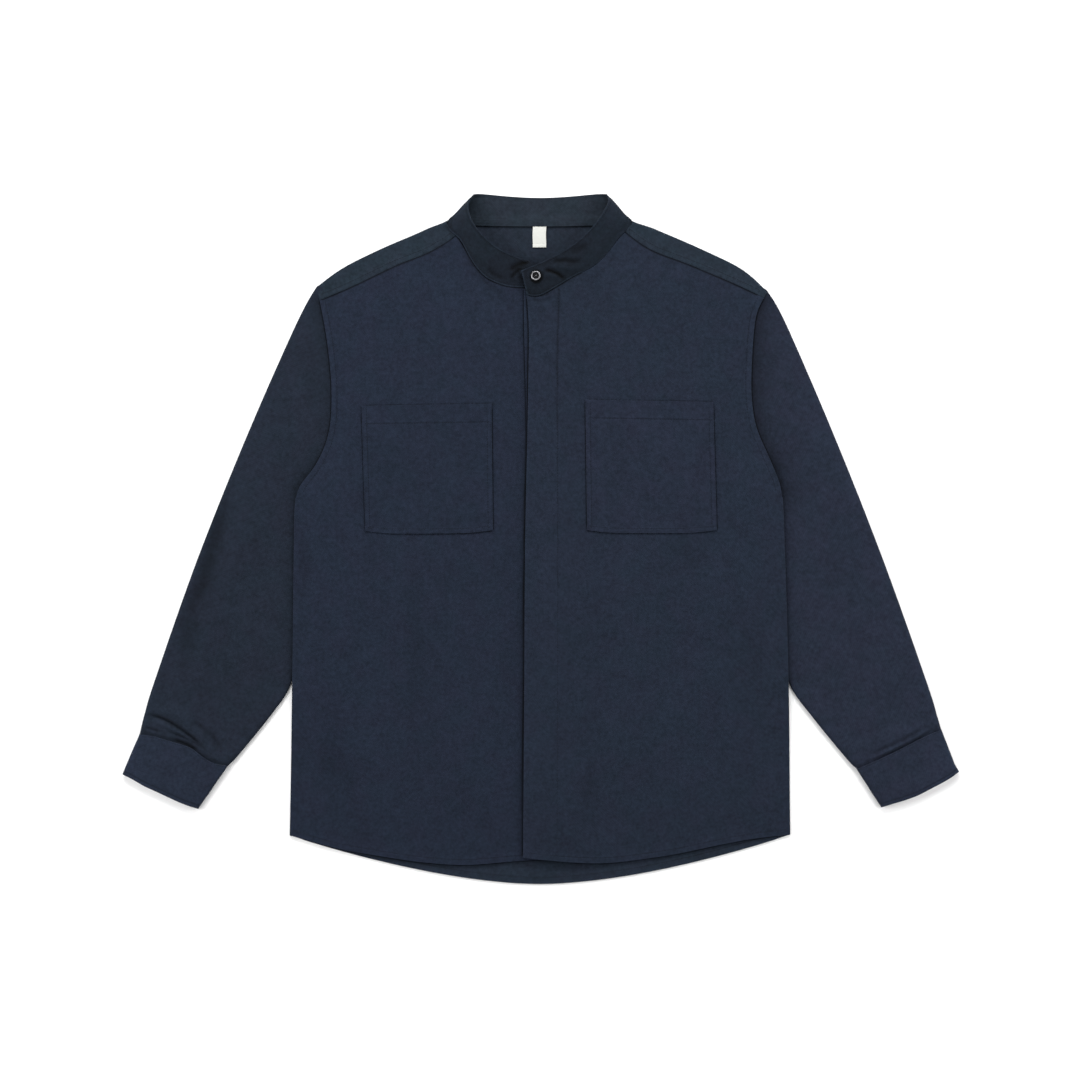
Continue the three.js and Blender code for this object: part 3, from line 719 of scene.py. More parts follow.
# fronts
front = {"ring": 8, "levels": 3, "ply": 0.95, "hemWidth": 7.0, "hemRise": 0.4, "seamRise": 0.42,
         "seamWidth": 6.8, "seamWave": 0.2, "wave": 0.34, "placketRise": 0.22, "placketGroove": 0.2,
         "sideRoll": [(0.3, 0.1), (0.55, 0.45), (0.6, 1.0), (0.45, 1.5)],
         "placket": [(21.8, 286), (19.8, 200), (20.2, 60), (20.4, -60)],  # its stitches, clear at first
         "placketEnd": [(20.4, -60), (20.0, -200), (19.5, -364)]}
# rows of line, width, depth and painted shade in the crease (below nought, a painted highlight on a ridge)
frontCreases = {
    "frontRight": [
        ([(-66, 301), (-52, 288), (-40, 274), (-22, 249)], 4.5, 0.55, 0.13),
        ([(-58, 300), (-44, 286), (-30, 268), (-18, 254)], 3.5, -0.35, -0.04),
        ([(-46, 292), (-34, 280), (-24, 266)], 2.2, 0.3, 0.1),
        ([(-86, 330), (-82, 321), (-71, 305), (-60, 292), (-46, 283)], 1.2, 0.25, 0.22),
        ([(-92, 318), (-70, 298), (-50, 272)], 9.0, 0.35, 0.05),
        ([(-38, 150), (-32, 40), (-38, -80), (-34, -200)], 11.0, 0.45, 0.04),
        ([(-120, -60), (-128, -170), (-122, -300)], 16.0, 0.3, 0.03),
        ([(-268, 15), (-272, -30), (-270, -80)], 8.0, 0.5, 0.14),
        ([(-142, 0), (-146, -70), (-142, -150), (-150, -240)], 10.0, 0.5, 0.09),
        ([(-250, -225), (-232, -262), (-205, -290)], 16.0, 0.4, 0.12),
        ([(-215, -40), (-222, -150), (-214, -280)], 18.0, -0.3, -0.03)],
    "frontLeft": [
        ([(-12, 274.4), (0, 272.8), (9, 274.6), (16, 278)], 1.7, 0.6, 0.3),
        ([(-9, 279.2), (1, 278), (10, 280.4), (16, 283)], 1.3, 0.4, 0.26),
        ([(-10, 268), (0, 266.5), (12, 268.5)], 2.6, -0.4, -0.05),
        ([(86, 327), (80, 316), (66, 300), (50, 290)], 1.2, 0.2, 0.14),
        ([(80, 312), (66, 292), (58, 262)], 9.0, 0.3, 0.04),
        ([(60, -30), (68, -150), (60, -300)], 15.0, 0.3, 0.03),
        ([(150, -70), (160, -180), (150, -320)], 18.0, -0.32, -0.03),
        ([(140, 0), (165, -18), (190, -40)], 12.0, 0.45, 0.09),
        ([(232, -110), (243, -135), (236, -160)], 13.0, 0.5, 0.14),
        ([(239, -50), (243, -70), (242, -90)], 12.0, -0.3, -0.06),
        ([(52, -260), (55, -300), (50, -340)], 13.0, 0.45, 0.12)]}


def makeFront(node, name, side):
    piece = topSkin(node, name)
    refine(piece, front["ring"], front["levels"])
    p = pointsOf(piece)
    right = side < 0
    centre = bodyCentre["right" if right else "left"]
    armRun = rimRun(piece, lambda x, y, z: side * x > 225 and 52 < y < 276 - 3 * right)
    sideRun = rimRun(piece, lambda x, y, z: side * x > 270 and -342 < y < 51)
    shoulderRun = rimRun(piece, lambda x, y, z: y > 281 - side and 98 < side * x < 222 + 8 * right)
    neckRun = rimRun(piece, lambda x, y, z: y > 282 and abs(x) < 99 and (y > 288 or abs(x) > 16))
    hemRun = rimRun(piece, lambda x, y, z: y < -338 and -18.4 < x * side + 40 * right)
    lapRun = rimRun(piece, lambda x, y, z: abs(x) < 24 and -364 < y < 276)
    arm, hem = p[armRun], p[hemRun]
    armStitch = shifted(arm, front["seamWidth"] - 0.5, centre)
    hemStitch = shifted(hem, front["hemWidth"] - 0.8, centre)
    nearArm, nearHem = fromRim(p, arm), fromRim(p, hem)
    ridge = 1 - step(nearArm, front["seamWidth"] - 1.2, front["seamWidth"] + 0.9)
    fade = 0.35 + 0.65 * step(p[:, 1], 60, 150)
    p[:, 2] += front["seamRise"] * ridge * fade
    p[:, 2] += front["hemRise"] * (1 - step(nearHem, front["hemWidth"] - 0.8, front["hemWidth"] + 0.8))
    nearSeam = np.minimum(nearHem, nearArm)
    p[:, 2] += front["seamWave"] * wander(p, (13, 17), 5 + side) * (1 - step(nearSeam, 6, 24))
    p[:, 2] += gentle(p, 11 + side, front["wave"]) * step(nearSeam, 2, 30)
    height, paintedShading = folds(p, frontCreases[name])
    p[:, 2] += height
    # painted highlights along the raised arm seam and along the hem
    paintedShading -= 0.07 * hump(nearArm, 2.6, 2.0) * fade + 0.05 * hump(nearHem, 3, 3) + 0.10 * hump(nearHem, 0, 1.3)
    lines = [(armStitch, 0.75), (hemStitch, 0.85)]
    if not right:
        plan, rest = curveThrough(front["placket"]), curveThrough(front["placketEnd"])
        lines += [(plan, 1.0), (rest, 0.35)]
        # painted shade along the placket's stitches, and a painted highlight beside the lapping edge
        paintedShading += 0.34 * hump(toPath(p, plan)[0], 0, 1.4) * step(p[:, 1], 40, 240)
        paintedShading -= 0.07 * hump(toPath(p, p[lapRun][:, :2])[0], 1.2, 1.4)
        nearPlacket = toPath(p, np.vstack([plan, rest]))[0]
        p[:, 2] += front["placketRise"] * (1 - step(p[:, 0], 18.5, 21.5))
        p[:, 2] -= front["placketGroove"] * hump(nearPlacket, 0, 1.6)
        stitchLines.append((piece, np.vstack([plan, rest[1:]])))
    setPoints(piece, p)
    giveValue(piece, "stitch", closeTo(p, lines))
    giveValue(piece, "paintedShading", paintedShading)
    drawOut(piece, sideRun, front["sideRoll"])
    drawOut(piece, shoulderRun, tucked(6, 1.15))
    drawOut(piece, neckRun, tucked(6, 2.1))
    faceUp(piece)
    sewn(piece, node, cloths["frontClothRight" if right else "frontClothLeft"], front["ply"])
    stitchLines.extend([(piece, armStitch), (piece, hemStitch)])
    edges[name] = {"arm": arm, "side": p[sideRun], "hem": hem, "lap": p[lapRun]}
    return piece


edges = {}
frontRight = makeFront("front_right", "frontRight", -1)
frontLeft = makeFront("front_left", "frontLeft", 1)
print("fronts made")

# fly strip of the concealed placket
fly = {"ring": 5, "levels": 3, "ply": 1.0, "underCollar": 9, "above": 1.3}
flyStrip = topSkin("placket", "flyStrip")
refine(flyStrip, fly["ring"], fly["levels"])
p = pointsOf(flyStrip)
p[:, 2] += 0.12 * wander(p, (9, 40), 21)
p[:, 1] += fly["underCollar"] * step(p[:, 1], 262, 279.6)
under = treeOf(frontRight)
onFront = np.array([heightOn(under, x, y, z) + fly["above"] for x, y, z in p])
p[:, 2] += (onFront - p[:, 2]) * step(p[:, 1], 272, 284)
setPoints(flyStrip, p)
faceUp(flyStrip)
flyRun = rimRun(flyStrip, lambda x, y, z: x < -12 and y > -362)
# painted shade beside the fly strip's edge and beside the left front's lapping edge
overlaps.append((frontRight, p[flyRun], (0, 0), -0.3, 0, 1))
sewn(flyStrip, "placket", cloths["frontClothRight"], fly["ply"])
overlaps.append((flyStrip, edges["frontLeft"]["lap"], (60, 0), -0.8, 0.15, 1.5))
overlaps.append((frontRight, edges["frontLeft"]["lap"], (60, 0), -1.4, 0.3, 2.6))

# yoke
yoke = {"ring": 0, "levels": 4, "ply": 1.1, "seamWidth": 6.3, "seamRise": 0.4, "outward": 1.9, "wave": 0.3}
armLines = [[(-249.5, 286), (-248.2, 281), (-246.4, 274.5)], [(252, 285), (250.4, 279), (248.8, 272.5)]]
neckLines = [[(-109, 359), (-104.5, 353.5), (-99.5, 346), (-102, 342)],
             [(99, 358), (97.5, 350), (101, 344.5), (107, 341)]]
yokePanel = outerSkin("yoke", "yokePanel", (0, 300, 0))
refine(yokePanel, yoke["ring"], yoke["levels"])
p = pointsOf(yokePanel)
top = p[:, 2] > 2.2
normals = np.array([v.normal for v in yokePanel.data.vertices])
p[:, :2] += yoke["outward"] * normals[:, :2] * step(np.abs(p[:, 0]), 106, 130)[:, None]
yokePaintedShading = np.zeros(len(p))
forward = []  # the forward seams, right and left
for s in (-1, 1):
    run = rimRun(yokePanel, lambda x, y, z: z > 2.5 and 97 < s * x < 250 and 270 < y < 349.5 + 3 * s)
    forward.append(run)
yokeLines = []
for run in forward:
    rim = p[run]
    near = fromRim(p, rim)
    ridge = 1 - step(near, yoke["seamWidth"] - 1.0, yoke["seamWidth"] + 1.0)
    p[:, 2] += top * (yoke["seamRise"] * ridge - 0.3 * hump(near, 0, 0.8))
    # painted highlight along the raised forward seam
    yokePaintedShading -= top * 0.06 * hump(near, 2.4, 1.8)
    yokeLines.append((shifted(rim, yoke["seamWidth"] - 0.6, (0, 420)), 0.65))
for rows in armLines:
    yokeLines.append((curveThrough(rows), 0.7))
p[:, 2] += top * yoke["wave"] * wander(p, (30, 30), 31) * step(p[:, 2], 2.2, 4)
setPoints(yokePanel, p)
giveValue(yokePanel, "stitch", closeTo(p, yokeLines) * top)
# painted shade lines where the yoke's edge curls beside the neck
for rows in neckLines:
    yokePaintedShading += top * 0.4 * hump(toPath(p, curveThrough(rows))[0], 0, 1.3)
giveValue(yokePanel, "paintedShading", yokePaintedShading)
neckBack = rimRun(yokePanel, lambda x, y, z: z < 0.7 and abs(x) < 104 and y > 350)
drawOut(yokePanel, neckBack, [(0.7, 0), (1.4, 0)])
for side in (-1, 1):
    neckFront = rimRun(yokePanel, lambda x, y, z: z > 3.0 and 98 < side * x < 109 and y > 351)
    drawOut(yokePanel, neckFront, tucked(4, 2.1))
sewn(yokePanel, "yoke", cloths["yokeCloth"], yoke["ply"])
lying = pointsOf(yokePanel)
lying[:, 2] = np.maximum(lying[:, 2], 0)
setPoints(yokePanel, lying)
paintFaces(yokePanel, cloths["insideCloth"], lambda x, y, z: z < 1.6 and y > 255 and abs(x) < 200)
# painted shade on the fronts beside the yoke's forward seams
overlaps.append((frontRight, p[forward[0]], (-172, 335), -0.7, 0.1, 1.5))
overlaps.append((frontLeft, p[forward[1]], (172, 335), -0.7, 0.1, 1.5))
stitchLines.extend((yokePanel, line) for line, show in yokeLines)
print("yoke made")

# chest pockets
pocket = {"ring": 6, "levels": 4, "ply": 1.0, "edge": 5.4, "puff": 0.5, "hemDrop": 21, "gap": 0.08,
          "seamRise": 0.28, "hemRise": 0.22, "hemGroove": 0.2, "wave": 0.26, "seamWave": 0.1}


def makePocket(node, name, side, under, cloth):
    piece = topSkin(node, name)
    refine(piece, pocket["ring"], pocket["levels"])
    p = pointsOf(piece)
    low, high = p.min(axis=0), p.max(axis=0)
    middle = (low + high)[:2] / 2
    topRun = rimRun(piece, lambda x, y, z: y > high[1] - 7 and abs(x - middle[0]) < 71)
    sewnRun = rimRun(piece, lambda x, y, z: not (y > high[1] - 5.5 and abs(x - middle[0]) < 70.5))
    rim = p[sewnRun]
    rim = rim[toPath(rim, p[topRun][:, :2])[0] > 5]
    near = fromRim(p, rim)
    hemEdge = shifted(p[topRun], pocket["hemDrop"], middle)
    nearHem = toPath(p, hemEdge)[0]
    above = toPath(p, p[topRun][:, :2])[0] < pocket["hemDrop"]
    tree = treeOf(under)
    p[:, 2] = [heightOn(tree, x, y, z - 1) for x, y, z in p]
    p[:, 2] += pocket["ply"] + pocket["gap"] + pocket["puff"] * step(near, 1.5, 30)
    p[:, 2] += pocket["seamRise"] * (1 - step(near, pocket["edge"] - 1.0, pocket["edge"] + 1.3))
    hemShape = pocket["hemRise"] * above - pocket["hemGroove"] * hump(nearHem, 0, 1.2)
    p[:, 2] += hemShape * step(near, 3, 8)
    p[:, 2] += pocket["wave"] * wander(p, (28, 30), 41 + side) * step(near, 4, 22)
    p[:, 2] += pocket["seamWave"] * wander(p, (7, 9), 43 + side) * (1 - step(near, 5, 14))
    edgeStitch = shifted(rim, pocket["edge"], middle)
    inner = shifted(rim, 1.3, middle)
    lines = [(edgeStitch, 0.5), (hemEdge, 0.95), (inner, 0.35)]
    setPoints(piece, p)
    giveValue(piece, "stitch", closeTo(p, lines))
    faceUp(piece)
    # painted highlights inside the sewn edges and below the pocket's hem
    giveValue(piece, "paintedShading", -0.07 * hump(near, 2.8, 1.8) - 0.05 * hump(nearHem, 2, 1.2))
    sewn(piece, node, cloth, pocket["ply"], 0.35)
    stitchLines.extend([(piece, edgeStitch), (piece, hemEdge)])
    # painted shade on the front round the pocket's edges and under its opening
    overlaps.append((under, rim, middle, -0.2, 0.08, 1.5))
    overlaps.append((under, p[topRun], middle, 0, 0, 1))
    return piece


pocketRight = makePocket("pocket_right", "pocketRight", -1, frontRight, cloths["pocketClothRight"])
pocketLeft = makePocket("pocket_left", "pocketLeft", 1, frontLeft, cloths["pocketClothLeft"])
print("pockets made")

# sleeves: a flattened tube each, from the armhole into the cuff
sleeve = {"ply": 0.9, "rows": 150, "cuffRows": 64, "cuffReach": 0.17, "top": 58, "under": 22, "fold": 5,
          "rest": 6.2, "pressed": 3.2, "armDrop": 1.25, "cuffHeight": 5.35, "cuffFloor": 2.05,
          "intoCuff": 5.0, "narrowing": 2.4, "creaseDepth": 1.45, "foldWidth": 5.4, "level": 2.9,
          "wave": 0.55}
sleevePlan = {
    "sleeveRight": {
        "outer": [(-251, 290.5), (-258.5, 287), (-283, 241), (-339, 113.5), (-394.5, -25), (-443, -163),
                  (-454.5, -201), (-460.3, -224.8)],
        "inner": [(-237, 133), (-242, 110), (-250.5, 91), (-262, 72), (-270, 54), (-272, 28), (-271, 0),
                  (-271, -70), (-275, -122), (-286.5, -169.5), (-308, -202.5),
                  (-345.5, -248.5), (-358.2, -261.5)],
        "arm": [(-251, 290.5), (-246, 270), (-242, 238), (-236.5, 195), (-235.3, 157), (-237, 133)],
        "cuff": [(-460.3, -224.8), (-444.8, -226.4), (-429.8, -230.8), (-414.7, -235.2), (-399.9, -240.7),
                 (-387.5, -250.2), (-373.8, -258), (-358.7, -261)]},
    "sleeveLeft": {
        "outer": [(255.5, 288), (263, 283), (284.5, 244), (340.5, 113.5), (395, -25), (444, -163),
                  (457, -205), (461, -219)],
        "inner": [(241, 143), (245.5, 124), (253, 106), (263, 87), (270, 70), (274, 52), (273, 28), (271, 0),
                  (271, -70), (275, -122), (286.5, -168.5), (315, -208.5),
                  (353, -254.5), (363.6, -264.7)],
        "arm": [(255.5, 288), (247.5, 268), (242, 239), (239, 192), (239, 165), (241, 143)],
        "cuff": [(461, -219), (446.8, -225), (432.9, -231.6), (419.2, -238.6), (405.5, -245.6),
                 (391.6, -252.2), (377.6, -258.5), (363.6, -264.7)]}}
# rows of line, width, depth and painted shade in the crease (below nought, a painted highlight on a ridge)
sleeveCreases = {
    "sleeveRight": [
        ([(-456, -202), (-445, -203.5), (-434, -206.5), (-425, -211), (-414.5, -217.5), (-404.5, -224.5),
          (-394, -232.5), (-383, -242)], 1.9, 2.2, 0.5),
        ([(-446, -197), (-425, -200), (-408, -209), (-392, -221), (-374, -238)], 6.5, -1.1, -0.04),
        ([(-450, -209.5), (-434, -213), (-418, -220.5), (-402, -231), (-385, -246)], 2.6, -1.1, -0.1),
        ([(-404.5, -207.5), (-394, -213.8), (-382.7, -222.8), (-375, -230.5), (-368.7, -239.5),
          (-364.8, -247)], 3.6, 1.4, 0.26),
        ([(-454.3, -215.6), (-445.3, -219), (-435, -222.2)], 1.5, 1.0, 0.36),
        ([(-431, -220.3), (-422.3, -223.4), (-410.8, -227.1), (-399.3, -232.9), (-389, -239.4),
          (-378.8, -247), (-371.5, -253.6)], 1.7, 1.1, 0.34),
        ([(-424, -231), (-414.7, -232.9), (-409.5, -234.9), (-399.3, -239.4), (-392, -244)], 1.9, 2.0, 0.75),
        ([(-392, -238), (-380, -247), (-368, -256)], 2.2, -0.9, -0.06),
        ([(-400, -170), (-388, -186), (-378, -205)], 9.0, 0.7, 0.06),
        ([(-352, 75), (-366, 25), (-378, -25), (-398, -84), (-415, -175)], 10.5, 0.7, 0.24),
        ([(-362, 40), (-376, -10), (-388, -55), (-396, -85)], 8.0, 0.5, 0.2),
        ([(-345, 60), (-330, -10), (-322, -80)], 17.0, 0.6, 0.06),
        ([(-300, 150), (-318, 90), (-345, 10), (-372, -70)], 20.0, -0.6, -0.04),
        ([(-352, -60), (-366, -120), (-372, -170)], 15.0, 0.5, 0.05),
        ([(-262, 232), (-262, 190), (-258, 140)], 9.0, 0.5, 0.05)],
    "sleeveLeft": [
        ([(371.6, -255.8), (385, -250.3), (398.5, -244.4), (415, -237.1), (432, -228),
          (449.3, -217.5)], 2.0, -0.9, -0.1),
        ([(374, -251), (388, -244.5), (406.8, -236.1), (425.5, -226.8), (446, -215)], 2.6, 0.9, 0.2),
        ([(378, -255), (398.5, -248), (417.1, -239.4), (431.7, -231.4), (446.2, -221.9),
          (457, -214)], 1.6, 0.9, 0.22),
        ([(380, -236), (402, -226), (424, -214)], 8.0, -0.7, -0.04),
        ([(392, -160), (396, -182), (404, -205)], 11.0, 0.5, 0.04),
        ([(300, 200), (318, 150), (346, 70), (368, 0)], 19.0, -0.6, -0.03),
        ([(356, -80), (364, -130), (372, -170)], 8.0, 0.4, 0.07),
        ([(415, -90), (440, -160), (455, -205)], 12.0, -0.4, -0.08),
        ([(330, 40), (338, -40), (345, -110)], 18.0, 0.6, 0.04),
        ([(262, 235), (258, 190), (259, 150)], 10.0, 0.6, 0.05)]}


def sleeveTop(x, y):
    # level with the front at the armhole, pressed under the body's side, round lower down
    x = np.abs(x)
    level = sleeve["level"] + 1.6 * step(y, 40, 92)
    under = (1 - step(x, 288, 335)) * step(y, -198, -168) * (1 - step(y, 70, 130))
    own = sleeve["rest"] + (sleeve["pressed"] - sleeve["rest"]) * under
    fromArm = np.maximum(step(x, 252, 320), 1 - step(y, 80, 115))
    return level + (own - level) * fromArm


def alongPath(path, share):
    # the place at a share of a path's length, for one share or many
    count = len(path)
    return np.stack([np.interp(share * (count - 1), range(count), path[:, k]) for k in (0, 1)], axis=-1)


def sleeveRow(outer, inner, arm, cuff, s):
    # one ring of the tube: its points from above, which are on the upper side, and how round it is there
    o, i = alongPath(outer, s), alongPath(inner, s)
    width = np.linalg.norm(arm[0] - arm[-1]) * (1 - s) + np.linalg.norm(o - i) * s
    fold = sleeve["foldWidth"] / max(width, 60)
    bend = [fold * (1 - math.cos(math.radians(a))) for a in np.linspace(0, 90, sleeve["fold"] + 1)]
    upperShares = bend + list(np.linspace(fold, 1 - fold, sleeve["top"] + 1)[1:-1])
    upperShares += [1 - b for b in reversed(bend)]
    underShares = [1 - b for b in bend[1:]] + list(np.linspace(1 - fold, fold, sleeve["under"] + 1)[1:-1])
    underShares += list(reversed(bend[1:]))
    shares = np.array(upperShares + underShares)
    t = shares[:, None]
    across = (1 - t) * o + t * i
    down = (1 - s) * alongPath(arm, shares) + s * alongPath(cuff, shares)
    corner = (1 - s) * ((1 - t) * arm[0] + t * arm[-1]) + s * ((1 - t) * cuff[0] + t * cuff[-1])
    edge = np.minimum(shares, 1 - shares) / fold
    roundness = np.sqrt(np.clip(1 - (1 - np.clip(edge, 0, 1)) ** 2, 0, 1))
    return across + down - corner, np.arange(len(shares)) < len(upperShares), roundness


def makeSleeve(node, name, side, cloth):
    body = "right" if side < 0 else "left"
    outer, inner, arm, cuff = [curveThrough(sleevePlan[name][line], 200)
                               for line in ("outer", "inner", "arm", "cuff")]
    rows = np.concatenate([np.linspace(0, 1 - sleeve["cuffReach"], sleeve["rows"], endpoint=False),
                           np.linspace(1 - sleeve["cuffReach"], 1, sleeve["cuffRows"]), [1, 1]])
    axis = cuff[100] - (outer[150] + inner[150]) / 2
    axis /= np.linalg.norm(axis)
    span = cuff[-1] - cuff[0]
    half = np.linalg.norm(span) / 2
    span = span / np.linalg.norm(span)
    grid = []
    for beyond, s in zip([0] * (len(rows) - 2) + [0.5, 1], rows):
        # the last two rings go into the cuff, a little narrower
        beyond = beyond * sleeve["intoCuff"]
        xy, upper, roundness = sleeveRow(outer, inner, arm, cuff, s)
        off = (xy - (cuff[0] + cuff[-1]) / 2) @ span
        pull = sleeve["narrowing"] * step(beyond, -0.5, 1.5)
        xy = xy - np.outer(off / half * pull, span) + axis * beyond
        grid.append((xy, upper, roundness, np.full(len(xy), beyond)))
    count = len(grid[0][0])
    xy, upper, roundness, beyond = [np.concatenate(part) for part in zip(*grid)]
    fromCuff = toPath(xy, respace(cuff, 60))[0] * (beyond == 0)
    armLine = edges["front" + body.title()]["arm"][:, :2]
    fromArm, flank = toPath(xy, respace(armLine, 60))[:2]
    inBody = flank == sideOf(bodyCentre[body], armLine)
    high = sleeveTop(xy[:, 0], xy[:, 1])
    high -= sleeve["armDrop"] * (1 - step(fromArm, 1.0, 18)) * step(xy[:, 1], 45, 75)
    high += hump(fromCuff, 10, 8)
    flat = np.column_stack([xy, high])
    quiet = step(fromArm, 4, 40) * step(fromCuff, 3, 25)
    height, paintedShading = folds(flat, sleeveCreases[name], sleeve["creaseDepth"])
    height += gentle(flat, 51 + side, sleeve["wave"], (55, 190), (75, 75)) * quiet
    height += 0.25 * wander(flat, (12, 12), 55 + side) * (1 - step(fromCuff, 8, 34))
    squeeze = 1 - step(fromCuff, 0.3, 4.2)
    high = high + height
    high = high + (sleeve["cuffHeight"] - high) * squeeze
    low = sleeve["cuffFloor"] * squeeze + 1.35 * inBody * step(fromArm, 0, 2) * step(xy[:, 1], 88, 96)
    z = (high + low) / 2 + np.where(upper, 1, -1) * (high - low) / 2 * roundness
    faces = []
    for r in range(len(grid) - 1):
        for c in range(count):
            d = (c + 1) % count
            faces.append((r * count + c, r * count + d, (r + 1) * count + d, (r + 1) * count + c))
    piece = pieceOf([tuple(v) for v in np.column_stack([xy, z]) * mm], faces, name)
    giveValue(piece, "paintedShading", paintedShading)
    onAllFaces(piece, bpy.ops.mesh.normals_make_consistent, inside=False)
    if max(piece.data.polygons, key=lambda face: face.center.z).normal.z < 0:
        onAllFaces(piece, bpy.ops.mesh.flip_normals)
    sewn(piece, node, cloth, sleeve["ply"], 0)
    return piece


sleeveRight = makeSleeve("sleeve_right", "sleeveRight", -1, cloths["sleeveClothRight"])
sleeveLeft = makeSleeve("sleeve_left", "sleeveLeft", 1, cloths["sleeveClothLeft"])
print("sleeves made")

# cuffs
cuffs = {"ring": 5, "levels": 3, "ply": 1.8, "hemStitch": 4.3, "seamStitch": 1.6, "wave": 0.3,
         "mouthRise": 0.3, "seamRise": 0.35, "seamWave": 0.14,
         "moves": [((455, -286), 20, (-1.1, 2.1)), ((480, -266), 15, (1.7, 0.3))]}
# rows of line, width, depth and painted shade in the crease (below nought, a painted highlight on a ridge)
cuffCreases = {
    "cuffRight": [([(-466, -240), (-450, -246), (-430, -250)], 5, 0.35, 0.05),
                  ([(-455, -262), (-430, -272), (-405, -286)], 7, 0.3, 0.04),
                  ([(-440, -236), (-436, -250), (-434, -262)], 6, -0.3, -0.04)],
    "cuffLeft": [([(405, -262), (425, -262), (445, -256)], 6, 0.35, 0.05),
                 ([(400, -285), (425, -282), (452, -268)], 7, -0.3, -0.04)]}


def makeCuff(node, name, side, cloth):
    piece = outerSkin(node, name, (side * 420, -265, 8))
    refine(piece, cuffs["ring"], cuffs["levels"])
    p = pointsOf(piece)
    mouth = rimRun(piece, lambda x, y, z: z > 4.2 and 0.46 * side * x - 0.887 * y > 432)
    seam = rimRun(piece, lambda x, y, z: z > 4.2 and 0.46 * side * x - 0.887 * y < 428)
    centre = (side * 420, -266)
    top = step(p[:, 2], 3.7, 6.5)
    mouthNear, seamNear = fromRim(p, p[mouth]), fromRim(p, p[seam])
    height, paintedShading = folds(p, cuffCreases[name])
    height += cuffs["mouthRise"] * hump(mouthNear, 2.8, 2.4) + cuffs["seamRise"] * hump(seamNear, 3.5, 3.0)
    height += cuffs["wave"] * wander(p, (16, 14), 61 + side)
    nearSeam = np.minimum(mouthNear, seamNear)
    height += cuffs["seamWave"] * wander(p, (6, 6), 63 + side) * (1 - step(nearSeam, 6, 12))
    p[:, 2] += top * height
    # the outer end of the cuff painted lighter, a painted highlight along the mouth, painted shade along the
    # hem stitches and a painted highlight beside the seam
    paintedShading -= 0.15 * step(side * p[:, 0], 425, 470) + 0.14 * hump(mouthNear, 1.4, 1.6)
    paintedShading += 0.16 * hump(mouthNear, cuffs["hemStitch"], 1.0) - 0.05 * hump(seamNear, 1.0, 1.2)
    nearMouth = 1 - step(mouthNear, 0, 12)
    if side < 0:
        p[:, :2] += np.outer(2.0 * nearMouth * step(p[:, 0], -474, -450), (-0.46, -0.887))
    else:
        for (x, y), width, move in cuffs["moves"]:
            near = nearMouth * hump(np.hypot(p[:, 0] - x, p[:, 1] - y), 0, width)
            p[:, :2] += np.outer(near, move)
    hemLine = shifted(p[mouth], cuffs["hemStitch"], centre)
    seamLine = shifted(p[seam], cuffs["seamStitch"], centre)
    setPoints(piece, p)
    giveValue(piece, "stitch", closeTo(p, [(hemLine, 0.95), (seamLine, 0.6)]) * (p[:, 2] > 2))
    giveValue(piece, "paintedShading", paintedShading)
    sewn(piece, node, cloth, cuffs["ply"], 0.5)
    stitchLines.extend([(piece, hemLine), (piece, seamLine)])
    # painted shade on the sleeve beside the cuff's seam
    overlaps.append((sleeveRight if side < 0 else sleeveLeft, p[seam], centre, 1.9, 0.1, 2))
    return piece


cuffRight = makeCuff("cuff_right", "cuffRight", -1, cloths["cuffClothRight"])
cuffLeft = makeCuff("cuff_left", "cuffLeft", 1, cloths["cuffClothLeft"])
print("cuffs made")

# collar band
band = {"ring": 4.5, "levels": 3, "ply": 1.7, "seat": 1.2, "wave": 0.35, "rimRise": 0.3, "groove": 0.25,
        "drawnDown": 1.3, "turn": 1.2, "tabEdge": [(-22.5, 306), (-18.5, 292), (-15.3, 278)],
        "rings": (2.4, 4.7, 7.2),  # how far the painted shade lines for folds at the back stretch's corner lie from its seam
        "stitches": {"rimLeft": (2.2, 0.8, (0, 200)),  # distance from the edge, show, a place inside
                     "rimRight": (2.2, 0.8, (-60, 250)), "seamRight": (2.0, 0.7, (-20, 400)),
                     "seamLeft": (2.0, 0.7, (20, 400)), "tabEnd": (5.0, 0.7, (30, 295))}}
# rows of line, width, depth and painted shade in the crease (below nought, a painted highlight on a ridge)
bandCreases = [
    ([(-37, 305.5), (-28, 311.5), (-20, 315), (-10, 318)], 3.4, 1.5, 0.42),
    ([(-34, 296), (-31.8, 300.5), (-28.5, 304.5), (-23.5, 308.4), (-19, 309)], 1.8, 1.2, 0.4),
    ([(-34, 302.5), (-27, 308.3), (-19, 311.8)], 1.8, -0.9, -0.08),
    ([(-62, 310), (-52, 302), (-42, 296.5)], 3.4, 0.8, 0.25),
    ([(3, 307.5), (8, 307.2), (14, 305.7), (21, 302.7), (27, 298), (30, 295)], 2.0, 1.7, 0.52),
    ([(5, 302.5), (13, 301), (21, 297)], 2.2, -0.7, -0.08),
    ([(12, 315.5), (18, 317.3), (28.8, 318), (41, 317), (50, 320)], 2.5, 1.2, 0.34),
    ([(10, 311), (22, 311), (34, 309), (46, 308.5)], 3.0, -1.0, -0.07),
    ([(33, 326), (44, 331), (56, 335.5)], 4.2, 0.8, 0.25),
    ([(-80, 332), (-68, 322), (-56, 316)], 5.0, -0.6, -0.05),
    ([(-48, 294), (-36, 292), (-24, 294)], 2.6, 0.5, 0.12)]
collarBand = sideSkin("collar_band", "collarBand", (0, 300, 20), 1.8)
refine(collarBand, band["ring"], band["levels"])
p = pointsOf(collarBand)
